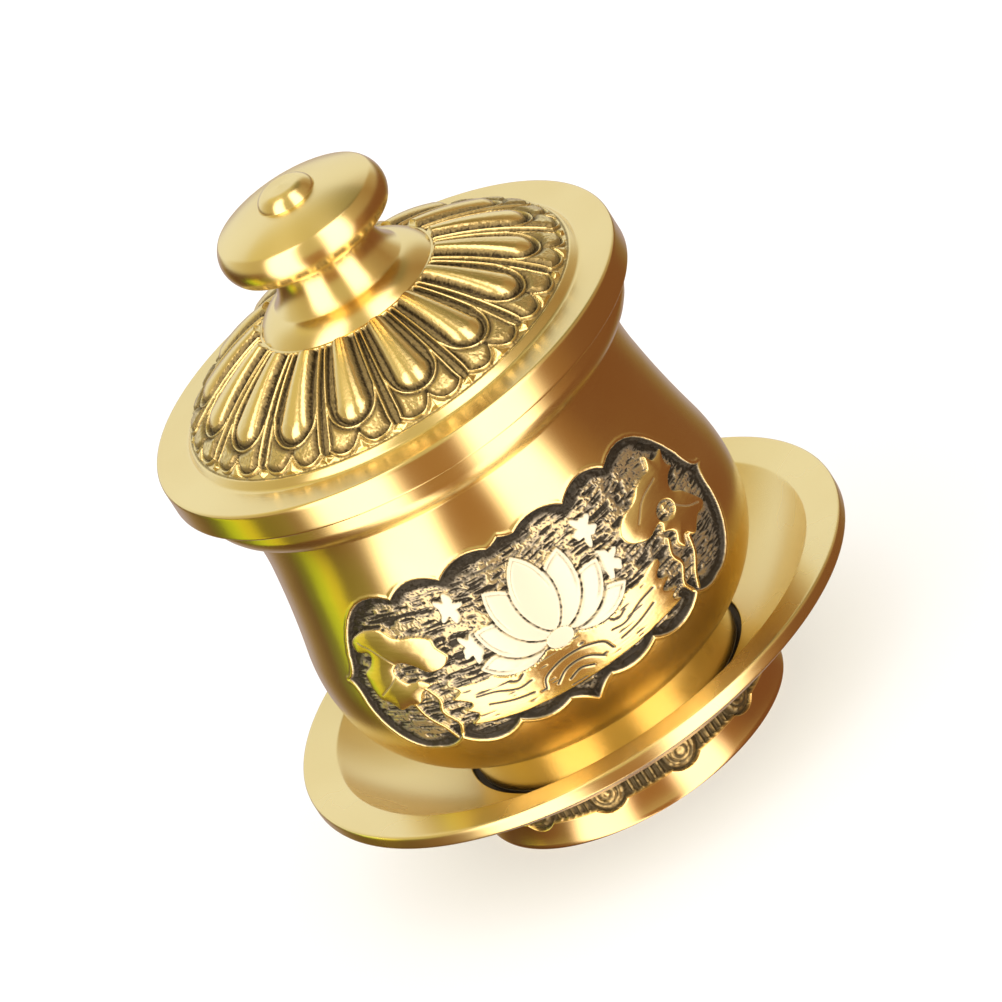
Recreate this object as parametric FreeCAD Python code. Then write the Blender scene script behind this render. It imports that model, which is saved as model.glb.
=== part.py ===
import FreeCAD, Part
import math
import os

from FreeCAD import Placement, Rotation, Vector

# Covered brass offering cup: a footed saucer, a cup that stands in it and a lid with a knob.
# Millimetres. +Z is up, the origin is the centre of the foot's resting face, and the picture
# panel looks along -Y. A bearing is an angle about Z, counted from -Y towards +X.

# ---- saucer ----
SAUCER_RADIUS = 45.0
SAUCER_RIM_TOP = 20.1
SAUCER_RIM_EDGE = 2.1          # height of the rim's outer edge
RIM_INNER_RADIUS = 39.4
RIM_FALL = 0.4                 # the flat rim slopes down this much to its inner edge
WELL_EDGE_RADIUS = 22.8
WELL_EDGE_HEIGHT = 9.2
WELL_FLOOR = 8.2
DISH_BOW = 1.8                 # how far the dish's inside hangs below a straight cone
DISH_UNDER_BOW = 0.7
DISH_HIP = (24.8, 8.4)         # where the underside turns down to the foot: radius, height
DISH_UNDERSIDE = 6.2
UNDERSIDE_RADIUS = 21.6
SHOULDER_RADIUS = 18.9         # round shoulder that centres the foot under the dish
SHOULDER_DROP = 1.0

# ---- lotus foot ----
FOOT_RADIUS = 25.1
FOOT_BORE_RADIUS = 19.0
FOOT_INNER_RADIUS = 22.6       # inner edge of the resting face
FOOT_INNER_RISE = 2.6          # the bore's lower end, above the resting face
FOOT_EDGE_HEIGHT = 0.5
FOOT_WALL_TOP = (24.5, 4.3)    # radius, height
FOOT_WALL_MIDDLE = (24.65, 2.4)
FOOT_PETAL_COUNT = 12
FOOT_PETAL_TURN = 12.5         # bearing of the first petal
FOOT_PETAL_REACH = 24.6        # radius of a petal's crown
FOOT_PETAL_HALF_WIDTH = 3.2
FOOT_PETAL_HEIGHT = 6.5
FOOT_PETAL_ROOT = 1.0          # how deep a petal reaches into the band
FOOT_BAND_TOP = 7.2
FOOT_BAND_RADIUS = 23.5
FOOT_SHOULDER = (24.2, 8.0)    # the ring's top corner under the dish

# ---- cup ----
CUP_SEAT = WELL_FLOOR
CUP_FOOT_RADIUS = 21.8
CUP_FOOT_WALL = 2.2
CUP_FOOT_TOP = 15.9
CUP_FOOT_CEILING = 15.2
CUP_WALL = 2.0
CUP_FLOOR = 17.6
LIP_RADIUS = 35.5
LIP_TOP = 70.1
LIP_EDGE = 2.4                 # height of the lip's outer edge
LIP_COVE = 0.9                 # depth of the cove under the lip
MOUTH_RADIUS = 29.4
MOUTH_DEPTH = 5.0              # height of the mouth's straight bore
LID_SEAT = 70.6
LID_SEAT_RADIUS = 33.5
# the belly from the foot's ledge to the neck under the lip, radius and height: a start,
# then the middle and the end of each arc
BELLY = [
    (24.3, 15.95), (30.0, 20.6), (33.6, 27.6), (34.2, 33.0), (33.5, 39.5),
    (32.1, 46.6), (31.1, 53.5), (30.75, 58.5), (31.1, 63.6),
]
FLOOR_EDGE_RADIUS = 23.0
EDGE_CHAMFER = 0.4

# ---- picture panel on the cup's front ----
PANEL_DEPTH = 0.9
PANEL_RADIUS = 33.2            # mean radius of the belly behind the panel
# right half of the cartouche, from the top point to the bottom point: bearing, height.
# A triple is an arc's middle and end.
CARTOUCHE_TOP = (0.0, 54.5)
CARTOUCHE_HALF = [
    ((3.5, 53.9),),
    ((12.0, 54.5), (19.5, 52.7)),
    ((27.5, 54.2), (35.3, 52.3)),
    ((50.5, 51.4), (59.5, 42.5)),
    ((63.4, 40.0),),
    ((59.8, 37.5),),
    ((51.5, 29.4), (36.0, 28.5)),
    ((27.5, 26.4), (19.5, 28.1)),
    ((12.0, 26.7), (5.5, 27.7)),
]
CARTOUCHE_BOTTOM = (0.0, 24.8)
LEAF_CENTRE = (44.0, 42.0)
LEAF_SIZE = (10.5, 5.2)        # half width in degrees, half height
POND = [(-32.0, 37.0), (32.0, 37.0), (28.0, 29.4), (-28.0, 29.4)]
EMBLEM_ROOT = 36.5
EMBLEM_PETALS = [(-58.0, 11.0), (-30.0, 13.0), (0.0, 14.5), (30.0, 13.0), (58.0, 11.0)]  # lean, length
EMBLEM_PETAL_WIDTH = 2.4       # half width
PANEL_BUDS = [(-21.0, 47.6), (-20.0, 41.5), (20.5, 47.6), (20.5, 41.5)]
PANEL_BUD_RADIUS = 2.0
PANEL_REACH = 60.0             # the panel's prisms run this far forward
BAND_OUTSIDE = 3.0

# ---- lid ----
FLANGE_RADIUS = 38.0
FLANGE_TOP = 75.2
FLANGE_CHAMFER = 0.5
STEP_RADIUS = 32.3
DOME_RADIUS = 31.7
DOME_BASE = 76.3
CROWN_RADIUS = 14.6
CROWN_TOP = 86.0
CROWN_EDGE = 0.2               # the dome's upper edge lies this far below the crown's flat
DOME_BULGE = 0.9               # how far the dome stands out of a straight cone
SPIGOT_RADIUS = 28.9           # locating collar that drops into the mouth
SPIGOT_WALL = 1.9
SPIGOT_DROP = 3.0
LID_WALL = 2.1
HOLLOW_FOOT = 0.13             # where the hollow meets the dome's inside, as a share of the dome
HOLLOW_SHOULDER = 1.6          # the hollow's straight bore ends this far below the flange's top
HOLLOW_BOW = 0.63
HOLLOW_CROWN_RADIUS = 13.6
LID_PETAL_COUNT = 16
LID_PETAL_TURN = 5.5
LOBE_RADII = (2.7, 1.3)        # at the lobe's outer and inner end
LOBE_SHARES = (0.31, 0.96)     # how far up the dome the lobe starts and ends
LOBE_SUNK = (2.0, 0.9)         # depth of the lobe's centre line below the dome
PEBBLE_RADIUS = 2.1
PEBBLE_SHARE = 0.13
PEBBLE_SUNK = 1.5
PEBBLE_SPREAD = 5.2            # bearing of a petal's two end pebbles from its middle
RIB_RADII = (0.7, 0.4)
RIB_SHARES = (0.10, 0.96)
RIB_SUNK = 0.25

# ---- knob and its screw ----
# profile points are radius and height
COLLAR_FOOT = (14.1, CROWN_TOP)
COLLAR_MIDDLE = (12.55, 87.55)
NECK_FOOT = (10.5, 88.5)
NECK_WAIST = (8.3, 93.0)
NECK_TOP = (8.75, 95.2)
HEAD_UNDER = (11.8, 95.6)
HEAD_RING = (12.8, 96.3)
HEAD_SIDE = (13.6, 98.8)
HEAD_EDGE = (12.55, 101.35)
HEAD_DOME = (8.9, 102.65)
BUTTON_ROOT = (4.6, 103.35)
BUTTON_SIDE = (4.0, 104.6)
BUTTON_EDGE = (2.5, 105.3)
KNOB_TOP = 105.4
SCREW_RADIUS = 2.0
SCREW_HOLE_RADIUS = 2.05
LID_HOLE_RADIUS = 2.3
TAPPED_DEPTH = 10.0
SCREW_REACH = 8.0              # length of screw inside the knob
SCREW_HEAD_RADIUS = 3.8
SCREW_HEAD_HEIGHT = 2.4
SCREW_HEAD_SIDE = 0.8          # height of the head's straight side
SCREW_CROWN = (3.1, 0.6)       # a point of the head's rounded face: radius, height above its end
SCREW_CROWN_FLAT = 1.2
SCREW_TIP_CHAMFER = 0.4
SCREW_SLOT = (1.0, 1.1)        # width, depth
WASHER_RADIUS = 4.8
WASHER_THICKNESS = 0.8

OVERCUT = 1.0                  # a cutting shape runs this far past what it cuts

AXIS = Vector(0, 0, 1)
CENTRE = Vector(0, 0, 0)


def at(point):
    """A profile point, radius and height, in the XZ plane."""
    return Vector(point[0], 0, point[1])


def run(start, end):
    return Part.LineSegment(at(start), at(end)).toShape()


def arc(start, middle, end):
    return Part.Arc(at(start), at(middle), at(end)).toShape()


def arcs(points):
    """A chain of arcs: a start, then the middle and the end of each arc."""
    return [arc(*points[index:index + 3]) for index in range(0, len(points) - 2, 2)]


def runs(points):
    """Straight runs through the points in turn."""
    return [run(start, end) for start, end in zip(points, points[1:])]


def turned(edges):
    """The solid that a closed profile sweeps about the Z axis."""
    face = Part.Face(Part.Wire(edges))
    solid = face.revolve(CENTRE, AXIS, 360)
    return Part.Solid(solid.Shells[0]) if solid.ShapeType != "Solid" else solid


def bulged(start, end, bulge):
    """Middle point of an arc that stands out of the straight run by the bulge, to its left."""
    run_r = end[0] - start[0]
    run_z = end[1] - start[1]
    share = bulge / math.hypot(run_r, run_z)
    return (start[0] + end[0]) / 2 - run_z * share, (start[1] + end[1]) / 2 + run_r * share


def inset(points, distance):
    """The points moved towards the axis side of their curve by a distance."""
    moved = []
    for index, (radius, height) in enumerate(points):
        before = points[max(index - 1, 0)]
        after = points[min(index + 1, len(points) - 1)]
        run_r = after[0] - before[0]
        run_z = after[1] - before[1]
        length = math.hypot(run_r, run_z)
        moved.append((radius - run_z / length * distance, height + run_r / length * distance))
    return moved


def disc(radius, bottom, top):
    return Part.makeCylinder(radius, top - bottom, Vector(0, 0, bottom))


def placed(radius, bearing, height):
    """A point at a radius and bearing."""
    angle = math.radians(bearing)
    return Vector(radius * math.sin(angle), -radius * math.cos(angle), height)


def write(name, shape):
    assert shape.isValid() and len(shape.Solids) == 1, name
    shape.exportStep("parts/%s.step" % name)
    print("%-14s solids %d  volume %9.1f mm3" % (name, len(shape.Solids), shape.Volume))


# ---- saucer ----

def saucer_dish():
    rim_inner = (RIM_INNER_RADIUS, SAUCER_RIM_TOP - RIM_FALL)
    well_edge = (WELL_EDGE_RADIUS, WELL_EDGE_HEIGHT)
    rim_under = (SAUCER_RADIUS, SAUCER_RIM_TOP - SAUCER_RIM_EDGE)
    shoulder_end = DISH_UNDERSIDE - SHOULDER_DROP
    edges = runs([(0, WELL_FLOOR), (WELL_EDGE_RADIUS, WELL_FLOOR), well_edge])
    edges.append(arc(well_edge, bulged(well_edge, rim_inner, -DISH_BOW), rim_inner))
    edges += runs([
        rim_inner, (SAUCER_RADIUS - EDGE_CHAMFER, SAUCER_RIM_TOP),
        (SAUCER_RADIUS, SAUCER_RIM_TOP - EDGE_CHAMFER), rim_under,
    ])
    edges.append(arc(rim_under, bulged(DISH_HIP, rim_under, -DISH_UNDER_BOW), DISH_HIP))
    edges += runs([
        DISH_HIP, (UNDERSIDE_RADIUS, DISH_UNDERSIDE), (SHOULDER_RADIUS, DISH_UNDERSIDE),
        (SHOULDER_RADIUS, shoulder_end), (0, shoulder_end), (0, WELL_FLOOR),
    ])
    return turned(edges)


def lotus_foot(dish):
    wall_end = (FOOT_RADIUS, FOOT_EDGE_HEIGHT)
    bore_end = (FOOT_BORE_RADIUS, FOOT_INNER_RISE)
    edges = runs([
        bore_end, (FOOT_BORE_RADIUS, DISH_UNDERSIDE), (UNDERSIDE_RADIUS, DISH_UNDERSIDE), FOOT_SHOULDER,
        (FOOT_BAND_RADIUS, FOOT_BAND_TOP), (FOOT_BAND_RADIUS, FOOT_WALL_TOP[1]), FOOT_WALL_TOP,
    ])
    edges.append(arc(FOOT_WALL_TOP, FOOT_WALL_MIDDLE, wall_end))
    edges += runs([wall_end, (FOOT_RADIUS - EDGE_CHAMFER, 0), (FOOT_INNER_RADIUS, 0), bore_end])
    ring = turned(edges)
    # each petal is the crown of a ball whose centre lies inside the ring
    rise = FOOT_PETAL_REACH - FOOT_BAND_RADIUS
    ball = (FOOT_PETAL_HALF_WIDTH ** 2 + rise ** 2) / (2 * rise)
    petals = []
    for number in range(FOOT_PETAL_COUNT):
        bearing = FOOT_PETAL_TURN + number * 360 / FOOT_PETAL_COUNT
        petals.append(Part.makeSphere(ball, placed(FOOT_PETAL_REACH - ball, bearing, FOOT_PETAL_HEIGHT)))
    # only the crowns stay: the balls' insides and what reaches into the dish are cut away
    inside_ring = disc(FOOT_BAND_RADIUS - FOOT_PETAL_ROOT, 0, SAUCER_RIM_TOP).cut(ring)
    above_ring = disc(FOOT_RADIUS, FOOT_SHOULDER[1], SAUCER_RIM_TOP)
    return ring.multiFuse(petals).cut(inside_ring).cut(above_ring).cut(dish)


# ---- cup ----

def panel_point(bearing, height):
    """A point of the panel, seen from the front."""
    return PANEL_RADIUS * math.sin(math.radians(bearing)), height


def front_prism(edges):
    """A closed outline in the XZ plane, run forward through the cup's front half."""
    return Part.Face(Part.Wire(edges)).extrude(Vector(0, -PANEL_REACH, 0))


def cartouche():
    edges = []
    for side in (1, -1):
        start = panel_point(*CARTOUCHE_TOP)
        for step in CARTOUCHE_HALF + [(CARTOUCHE_BOTTOM,)]:
            points = [panel_point(side * bearing, height) for bearing, height in step]
            edges.append(run(start, points[0]) if len(points) == 1 else arc(start, *points))
            start = points[-1]
    return front_prism(Part.__sortEdges__(edges))


def oval(centre, half_width, half_height):
    ellipse = Part.Ellipse(CENTRE, max(half_width, half_height), min(half_width, half_height))
    outline = Part.Wire(ellipse.toShape())
    outline.rotate(CENTRE, Vector(1, 0, 0), 90)
    if half_height > half_width:
        outline.rotate(CENTRE, Vector(0, 1, 0), 90)
    outline.translate(at(centre))
    return Part.Face(outline).extrude(Vector(0, -PANEL_REACH, 0))


def lotus_emblem():
    """Five pointed petals that fan out of one root: a generic lotus."""
    root = (0, EMBLEM_ROOT)
    petals = []
    for lean, length in EMBLEM_PETALS:
        angle = math.radians(lean)
        along = (math.sin(angle), math.cos(angle))
        tip = (root[0] + along[0] * length, root[1] + along[1] * length)
        left = bulged(root, tip, EMBLEM_PETAL_WIDTH)
        right = bulged(root, tip, -EMBLEM_PETAL_WIDTH)
        petals.append(front_prism([arc(root, left, tip), arc(tip, right, root)]))
    return petals


def panel_motifs():
    """What stands up out of the panel's sunken ground, level with the belly."""
    motifs = lotus_emblem()
    pond = [panel_point(*point) for point in POND]
    motifs.append(front_prism(runs(pond + pond[:1])))
    for side in (1, -1):
        centre = panel_point(side * LEAF_CENTRE[0], LEAF_CENTRE[1])
        half_width = PANEL_RADIUS * math.radians(LEAF_SIZE[0]) * math.cos(math.radians(LEAF_CENTRE[0]))
        motifs.append(oval(centre, half_width, LEAF_SIZE[1]))
    for bearing, height in PANEL_BUDS:
        across, height = panel_point(bearing, height)
        corners = [(across - PANEL_BUD_RADIUS, height), (across, height + PANEL_BUD_RADIUS),
                   (across + PANEL_BUD_RADIUS, height), (across, height - PANEL_BUD_RADIUS)]
        motifs.append(front_prism(runs(corners + corners[:1])))
    return motifs


def belly_band():
    """The shell that reaches the panel's depth into the belly, and well past its outside."""
    outer = inset(BELLY, -BAND_OUTSIDE)
    inner = inset(BELLY, PANEL_DEPTH)
    return turned(arcs(outer) + [run(outer[-1], inner[-1])] + arcs(inner[::-1]) + [run(inner[0], outer[0])])


def cup_body():
    foot_inner = CUP_FOOT_RADIUS - CUP_FOOT_WALL
    outer_foot = [
        (foot_inner, CUP_SEAT), (CUP_FOOT_RADIUS - EDGE_CHAMFER, CUP_SEAT),
        (CUP_FOOT_RADIUS, CUP_SEAT + EDGE_CHAMFER), (CUP_FOOT_RADIUS, CUP_FOOT_TOP), BELLY[0],
    ]
    lip_bottom = (LIP_RADIUS, LIP_TOP - LIP_EDGE)
    # the inside starts at the first arc's end, above the floor's rounded edge
    inside = inset(BELLY, CUP_WALL)
    floor_edge = (FLOOR_EDGE_RADIUS, CUP_FLOOR)
    edges = runs(outer_foot) + arcs(BELLY)
    edges.append(arc(BELLY[-1], bulged(BELLY[-1], lip_bottom, -LIP_COVE), lip_bottom))
    edges += runs([
        lip_bottom, (LIP_RADIUS, LIP_TOP - EDGE_CHAMFER), (LIP_RADIUS - EDGE_CHAMFER, LIP_TOP),
        (LID_SEAT_RADIUS + EDGE_CHAMFER, LIP_TOP), (LID_SEAT_RADIUS, LID_SEAT), (MOUTH_RADIUS, LID_SEAT),
        (MOUTH_RADIUS, LID_SEAT - MOUTH_DEPTH), inside[-1],
    ])
    edges += arcs(inside[:1:-1])
    edges.append(arc(inside[2], inside[1], floor_edge))
    edges += runs([
        floor_edge, (0, CUP_FLOOR), (0, CUP_FOOT_CEILING), (foot_inner, CUP_FOOT_CEILING), outer_foot[0],
    ])
    ground = belly_band().common(cartouche())
    return turned(edges).cut(ground.cut(panel_motifs()))


# ---- lid ----

def dome_point(share, sunk=0.0):
    """A point of the dome's profile, from its foot (0) to its crown (1), or sunk below it."""
    foot = (DOME_RADIUS, DOME_BASE)
    crown = (CROWN_RADIUS, CROWN_TOP - CROWN_EDGE)
    bow = DOME_BULGE * 4 * share * (1 - share) - sunk
    run_r = crown[0] - foot[0]
    run_z = crown[1] - foot[1]
    length = math.hypot(run_r, run_z)
    return (foot[0] + run_r * share + run_z / length * bow, foot[1] + run_z * share - run_r / length * bow)


def tapered_bar(start, end, start_radius, end_radius):
    """A round bar between two points, with rounded ends."""
    along = end - start
    half_root = math.sqrt(0.5)
    low = [(0, -start_radius), (start_radius * half_root, -start_radius * half_root), (start_radius, 0)]
    top = along.Length
    high = [(end_radius, top), (end_radius * half_root, top + end_radius * half_root), (0, top + end_radius)]
    bar = turned([arc(*low), run(low[2], high[0]), arc(*high), run(high[2], low[0])])
    bar.Placement = Placement(start, Rotation(AXIS, along))
    return bar


def dome_bar(bearing, shares, sunk, radii):
    """A tapered bar that runs up the dome at a bearing."""
    low = dome_point(shares[0], sunk[0])
    high = dome_point(shares[1], sunk[1])
    return tapered_bar(placed(low[0], bearing, low[1]), placed(high[0], bearing, high[1]), *radii)


def lid_relief():
    """Sixteen long lobes, each with two pebbles at its foot, and a thin rib between lobes."""
    relief = []
    spacing = 360 / LID_PETAL_COUNT
    pebble = dome_point(PEBBLE_SHARE, PEBBLE_SUNK)
    for number in range(LID_PETAL_COUNT):
        bearing = LID_PETAL_TURN + number * spacing
        relief.append(dome_bar(bearing, LOBE_SHARES, LOBE_SUNK, LOBE_RADII))
        relief.append(dome_bar(bearing + spacing / 2, RIB_SHARES, (RIB_SUNK, RIB_SUNK), RIB_RADII))
        for side in (-1, 1):
            centre = placed(pebble[0], bearing + side * PEBBLE_SPREAD, pebble[1])
            relief.append(Part.makeSphere(PEBBLE_RADIUS, centre))
    return relief


def lid_hollow():
    """The space under the lid: inside the spigot, under the dome and through the crown."""
    bottom = LID_SEAT - SPIGOT_DROP - OVERCUT
    top = CROWN_TOP + OVERCUT
    inner_radius = SPIGOT_RADIUS - SPIGOT_WALL
    ceiling = CROWN_TOP - LID_WALL
    inner_foot = dome_point(HOLLOW_FOOT, LID_WALL)
    inner_crown = (HOLLOW_CROWN_RADIUS, ceiling)
    bore_top = FLANGE_TOP - HOLLOW_SHOULDER
    edges = runs([(0, bottom), (inner_radius, bottom), (inner_radius, bore_top), inner_foot])
    edges.append(arc(inner_foot, bulged(inner_foot, inner_crown, -HOLLOW_BOW), inner_crown))
    edges += runs([inner_crown, (LID_HOLE_RADIUS, ceiling), (LID_HOLE_RADIUS, top), (0, top), (0, bottom)])
    return turned(edges)


def lid_shell():
    crown = (CROWN_RADIUS, CROWN_TOP - CROWN_EDGE)
    dome_foot = (DOME_RADIUS, DOME_BASE)
    spigot_end = LID_SEAT - SPIGOT_DROP
    edges = runs([
        (0, spigot_end), (SPIGOT_RADIUS - EDGE_CHAMFER, spigot_end),
        (SPIGOT_RADIUS, spigot_end + EDGE_CHAMFER), (SPIGOT_RADIUS, LID_SEAT),
        (FLANGE_RADIUS - FLANGE_CHAMFER, LID_SEAT),
        (FLANGE_RADIUS, LID_SEAT + FLANGE_CHAMFER), (FLANGE_RADIUS, FLANGE_TOP - FLANGE_CHAMFER),
        (FLANGE_RADIUS - FLANGE_CHAMFER, FLANGE_TOP), (STEP_RADIUS, FLANGE_TOP), dome_foot,
    ])
    edges.append(arc(dome_foot, bulged(dome_foot, crown, -DOME_BULGE), crown))
    edges += runs([crown, (CROWN_RADIUS - CROWN_EDGE, CROWN_TOP), (0, CROWN_TOP), (0, spigot_end)])
    return turned(edges).multiFuse(lid_relief()).cut(lid_hollow())


# ---- knob and its screw ----

def lid_knob():
    tapped_top = CROWN_TOP + TAPPED_DEPTH
    edges = [
        run((SCREW_HOLE_RADIUS, CROWN_TOP), COLLAR_FOOT),
        arc(COLLAR_FOOT, COLLAR_MIDDLE, NECK_FOOT),
        arc(NECK_FOOT, NECK_WAIST, NECK_TOP),
        run(NECK_TOP, HEAD_UNDER),
        run(HEAD_UNDER, HEAD_RING),
        arc(HEAD_RING, HEAD_SIDE, HEAD_EDGE),
        arc(HEAD_EDGE, HEAD_DOME, BUTTON_ROOT),
        arc(BUTTON_ROOT, BUTTON_SIDE, BUTTON_EDGE),
    ]
    edges += runs([
        BUTTON_EDGE, (0, KNOB_TOP), (0, tapped_top), (SCREW_HOLE_RADIUS, tapped_top),
        (SCREW_HOLE_RADIUS, CROWN_TOP),
    ])
    return turned(edges)


def knob_washer():
    top = CROWN_TOP - LID_WALL
    bottom = top - WASHER_THICKNESS
    return disc(WASHER_RADIUS, bottom, top).cut(disc(LID_HOLE_RADIUS, bottom - OVERCUT, top + OVERCUT))


def knob_screw():
    head_top = CROWN_TOP - LID_WALL - WASHER_THICKNESS
    head_bottom = head_top - SCREW_HEAD_HEIGHT
    tip = CROWN_TOP + SCREW_REACH
    shoulder = (SCREW_HEAD_RADIUS, head_top - SCREW_HEAD_SIDE)
    crown_flat = (SCREW_CROWN_FLAT, head_bottom)
    edges = runs([
        (0, head_bottom), (0, tip), (SCREW_RADIUS - SCREW_TIP_CHAMFER, tip),
        (SCREW_RADIUS, tip - SCREW_TIP_CHAMFER), (SCREW_RADIUS, head_top),
        (SCREW_HEAD_RADIUS, head_top), shoulder,
    ])
    edges.append(arc(shoulder, (SCREW_CROWN[0], head_bottom + SCREW_CROWN[1]), crown_flat))
    edges.append(run(crown_flat, (0, head_bottom)))
    width, depth = SCREW_SLOT
    length = 2 * (SCREW_HEAD_RADIUS + OVERCUT)
    corner = Vector(-length / 2, -width / 2, head_bottom - OVERCUT)
    slot = Part.makeBox(length, width, depth + OVERCUT, corner)
    return turned(edges).cut(slot)


def main():
    os.makedirs("parts", exist_ok=True)
    dish = saucer_dish()
    write("saucer_dish", dish)
    write("lotus_foot", lotus_foot(dish))
    write("cup_body", cup_body())
    write("lid_shell", lid_shell())
    write("lid_knob", lid_knob())
    write("knob_washer", knob_washer())
    write("knob_screw", knob_screw())


main()
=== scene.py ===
import cmath
import math

import bpy
import numpy as np
from mathutils import Matrix, Vector


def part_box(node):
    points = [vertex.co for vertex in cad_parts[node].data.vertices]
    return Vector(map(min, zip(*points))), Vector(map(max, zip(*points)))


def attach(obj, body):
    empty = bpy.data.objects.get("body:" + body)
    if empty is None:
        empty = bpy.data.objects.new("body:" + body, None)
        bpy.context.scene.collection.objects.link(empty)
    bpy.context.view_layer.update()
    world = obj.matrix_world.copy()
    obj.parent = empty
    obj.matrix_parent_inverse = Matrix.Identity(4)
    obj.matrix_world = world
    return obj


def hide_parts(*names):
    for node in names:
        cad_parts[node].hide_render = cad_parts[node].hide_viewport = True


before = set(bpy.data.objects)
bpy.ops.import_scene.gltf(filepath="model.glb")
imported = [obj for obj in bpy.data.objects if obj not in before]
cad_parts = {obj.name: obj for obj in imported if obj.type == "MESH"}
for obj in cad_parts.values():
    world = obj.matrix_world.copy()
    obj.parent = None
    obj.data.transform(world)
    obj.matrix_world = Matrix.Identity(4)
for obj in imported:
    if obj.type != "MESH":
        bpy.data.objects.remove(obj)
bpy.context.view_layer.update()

# The looks of a covered brass offering cup. Shapes are built in millimetres in the CAD frame:
# +Z up, the foot's resting face at zero, the picture panel towards -Y. A bearing is an angle
# about Z in degrees, counted from -Y towards +X.
MM = 0.001


def node_box(name):
    """A CAD node's lowest and highest corner, in millimetres."""
    low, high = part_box(name)
    return np.array(low) / MM, np.array(high) / MM


SAUCER_HIGH = node_box("saucer_dish")[1]
FOOT_HIGH = node_box("lotus_foot")[1]
CUP_LOW, CUP_HIGH = node_box("cup_body")
LID_LOW, LID_HIGH = node_box("lid_shell")
KNOB_LOW, KNOB_HIGH = node_box("lid_knob")

# ---- saucer; profile points are radius and height, here and below ----
SAUCER_RADIUS = SAUCER_HIGH[0]
SAUCER_TOP = SAUCER_HIGH[2]
RIM_WIDTH = 5.6
RIM_FALL = 0.4
RIM_EDGE = 2.1
WELL_RADIUS = 22.8
WELL_FLOOR = CUP_LOW[2]
DISH_SAG = 1.8                 # how far the dish lies below the chord from the well to the rim
DISH_HIP = (24.8, 8.4)         # where the dish's underside meets the foot
HIP_BULGE = 0.7
SEAT_EDGE = 21.6               # radius of the flat that the foot is brazed to
DISH_UNDERSIDE = 6.2
SHOULDER_RADIUS = 18.9
SAUCER_COLUMNS = 384           # the mesh has this many columns round it

# ---- lotus foot ----
FOOT_RADIUS = FOOT_HIGH[0]
FOOT_BORE = 19.0
FOOT_INNER = 22.6
FOOT_WALL_TOP = (24.5, 4.3)
FOOT_WALL_MIDDLE = (24.65, 2.4)
FOOT_SHOULDER = (24.3, 8.0)
FOOT_PETALS = 12
FOOT_TURN = 12.5
FOOT_COLUMNS = 66              # for each petal
FOOT_CELL = 0.11               # rows of the relief lie this close together
RELIEF_RADIUS = 24.0           # the relief is laid out round the foot at this radius
RELIEF_INNER = 22.3            # and is cut into what stands outside this one
PETAL_CENTRE = 6.5             # height
PETAL_RADIUS = 3.3
PETAL_LEVELS = (-0.85, 0.95)   # lowest level above the wall, and full rise from there
FLUTE_LEVELS = (-0.95, 0.50)
FOLD_DEPTH = 0.16

# ---- cup ----
CUP_FOOT_RADIUS = 21.8
CUP_FOOT_WALL = 2.2
CUP_FOOT_TOP = 15.9
CUP_CEILING = 15.2
CUP_FLOOR = 17.6
CUP_WALL = 2.0
LIP_RADIUS = CUP_HIGH[0]
LID_SEAT = CUP_HIGH[2]
LIP_TOP = LID_SEAT - 0.5
LIP_EDGE = 2.4
MOUTH_RADIUS = 29.4
SEAT_RADIUS = 33.5
# the belly from the foot's ledge to the neck: a start, then the middle and the end of each arc
BELLY = [
    (24.3, 15.95), (30.0, 20.6), (33.6, 27.6), (34.2, 33.0), (33.5, 39.5),
    (32.1, 46.6), (31.1, 53.5), (30.75, 58.5), (31.1, 63.6),
]

# ---- lid ----
FLANGE_RADIUS = LID_HIGH[0]
FLANGE_TOP = 75.2
SPIGOT_RADIUS = 28.9
SPIGOT_WALL = 1.9
SPIGOT_END = LID_LOW[2]
STEP_RADIUS = 32.3
DOME_FOOT = (31.7, 76.3)
DOME_CROWN = (14.6, 85.8)
DOME_BULGE = 0.9
CROWN_TOP = LID_HIGH[2]
LID_WALL = 2.1
LID_HOLE = 2.3
HOLLOW_FOOT = (28.6, 75.2)
HOLLOW_BULGE = 0.6
LID_PETALS = 16
LID_COLUMNS = 80               # for each petal
LID_CELL = 0.15
LID_TURN = 5.5

# ---- knob ----
COLLAR_FOOT = (14.1, KNOB_LOW[2])
COLLAR_MIDDLE = (12.55, 87.55)
NECK_FOOT = (10.5, 88.5)
NECK_WAIST = (8.3, 93.0)
NECK_TOP = (8.75, 95.2)
HEAD_UNDER = (11.8, 95.6)
HEAD_RING = (12.8, 96.3)
HEAD_SIDE = (13.6, 98.8)
HEAD_EDGE = (12.55, 101.35)
HEAD_DOME = (8.9, 102.65)
BUTTON_ROOT = (4.6, 103.35)
BUTTON_SIDE = (4.0, 104.6)
BUTTON_EDGE = (2.5, 105.3)
KNOB_TOP = KNOB_HIGH[2]
SCREW_HOLE = 2.05
TAPPED_DEPTH = 10.0
KNOB_COLUMNS = 256


# ======== shared maths ========

def smooth(value, low, high):
    """0 below low, 1 above high, and a soft step between."""
    share = np.clip((value - low) / (high - low), 0, 1)
    return share * share * (3 - 2 * share)


def pillow(inside, width):
    """A rounded crown that rises from 0 at an edge to 1 at a depth of width inside it."""
    share = np.clip(inside / width, 0, 1)
    return np.sqrt(1 - (1 - share) ** 2)


def ridge(distance, half_width):
    """A soft ridge along a line, 1 on the line."""
    return np.exp(-(distance / half_width) ** 2)


def raised(levels, share):
    """A relief's height, from its lowest level and its full rise from there."""
    return levels[0] + levels[1] * share


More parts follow.
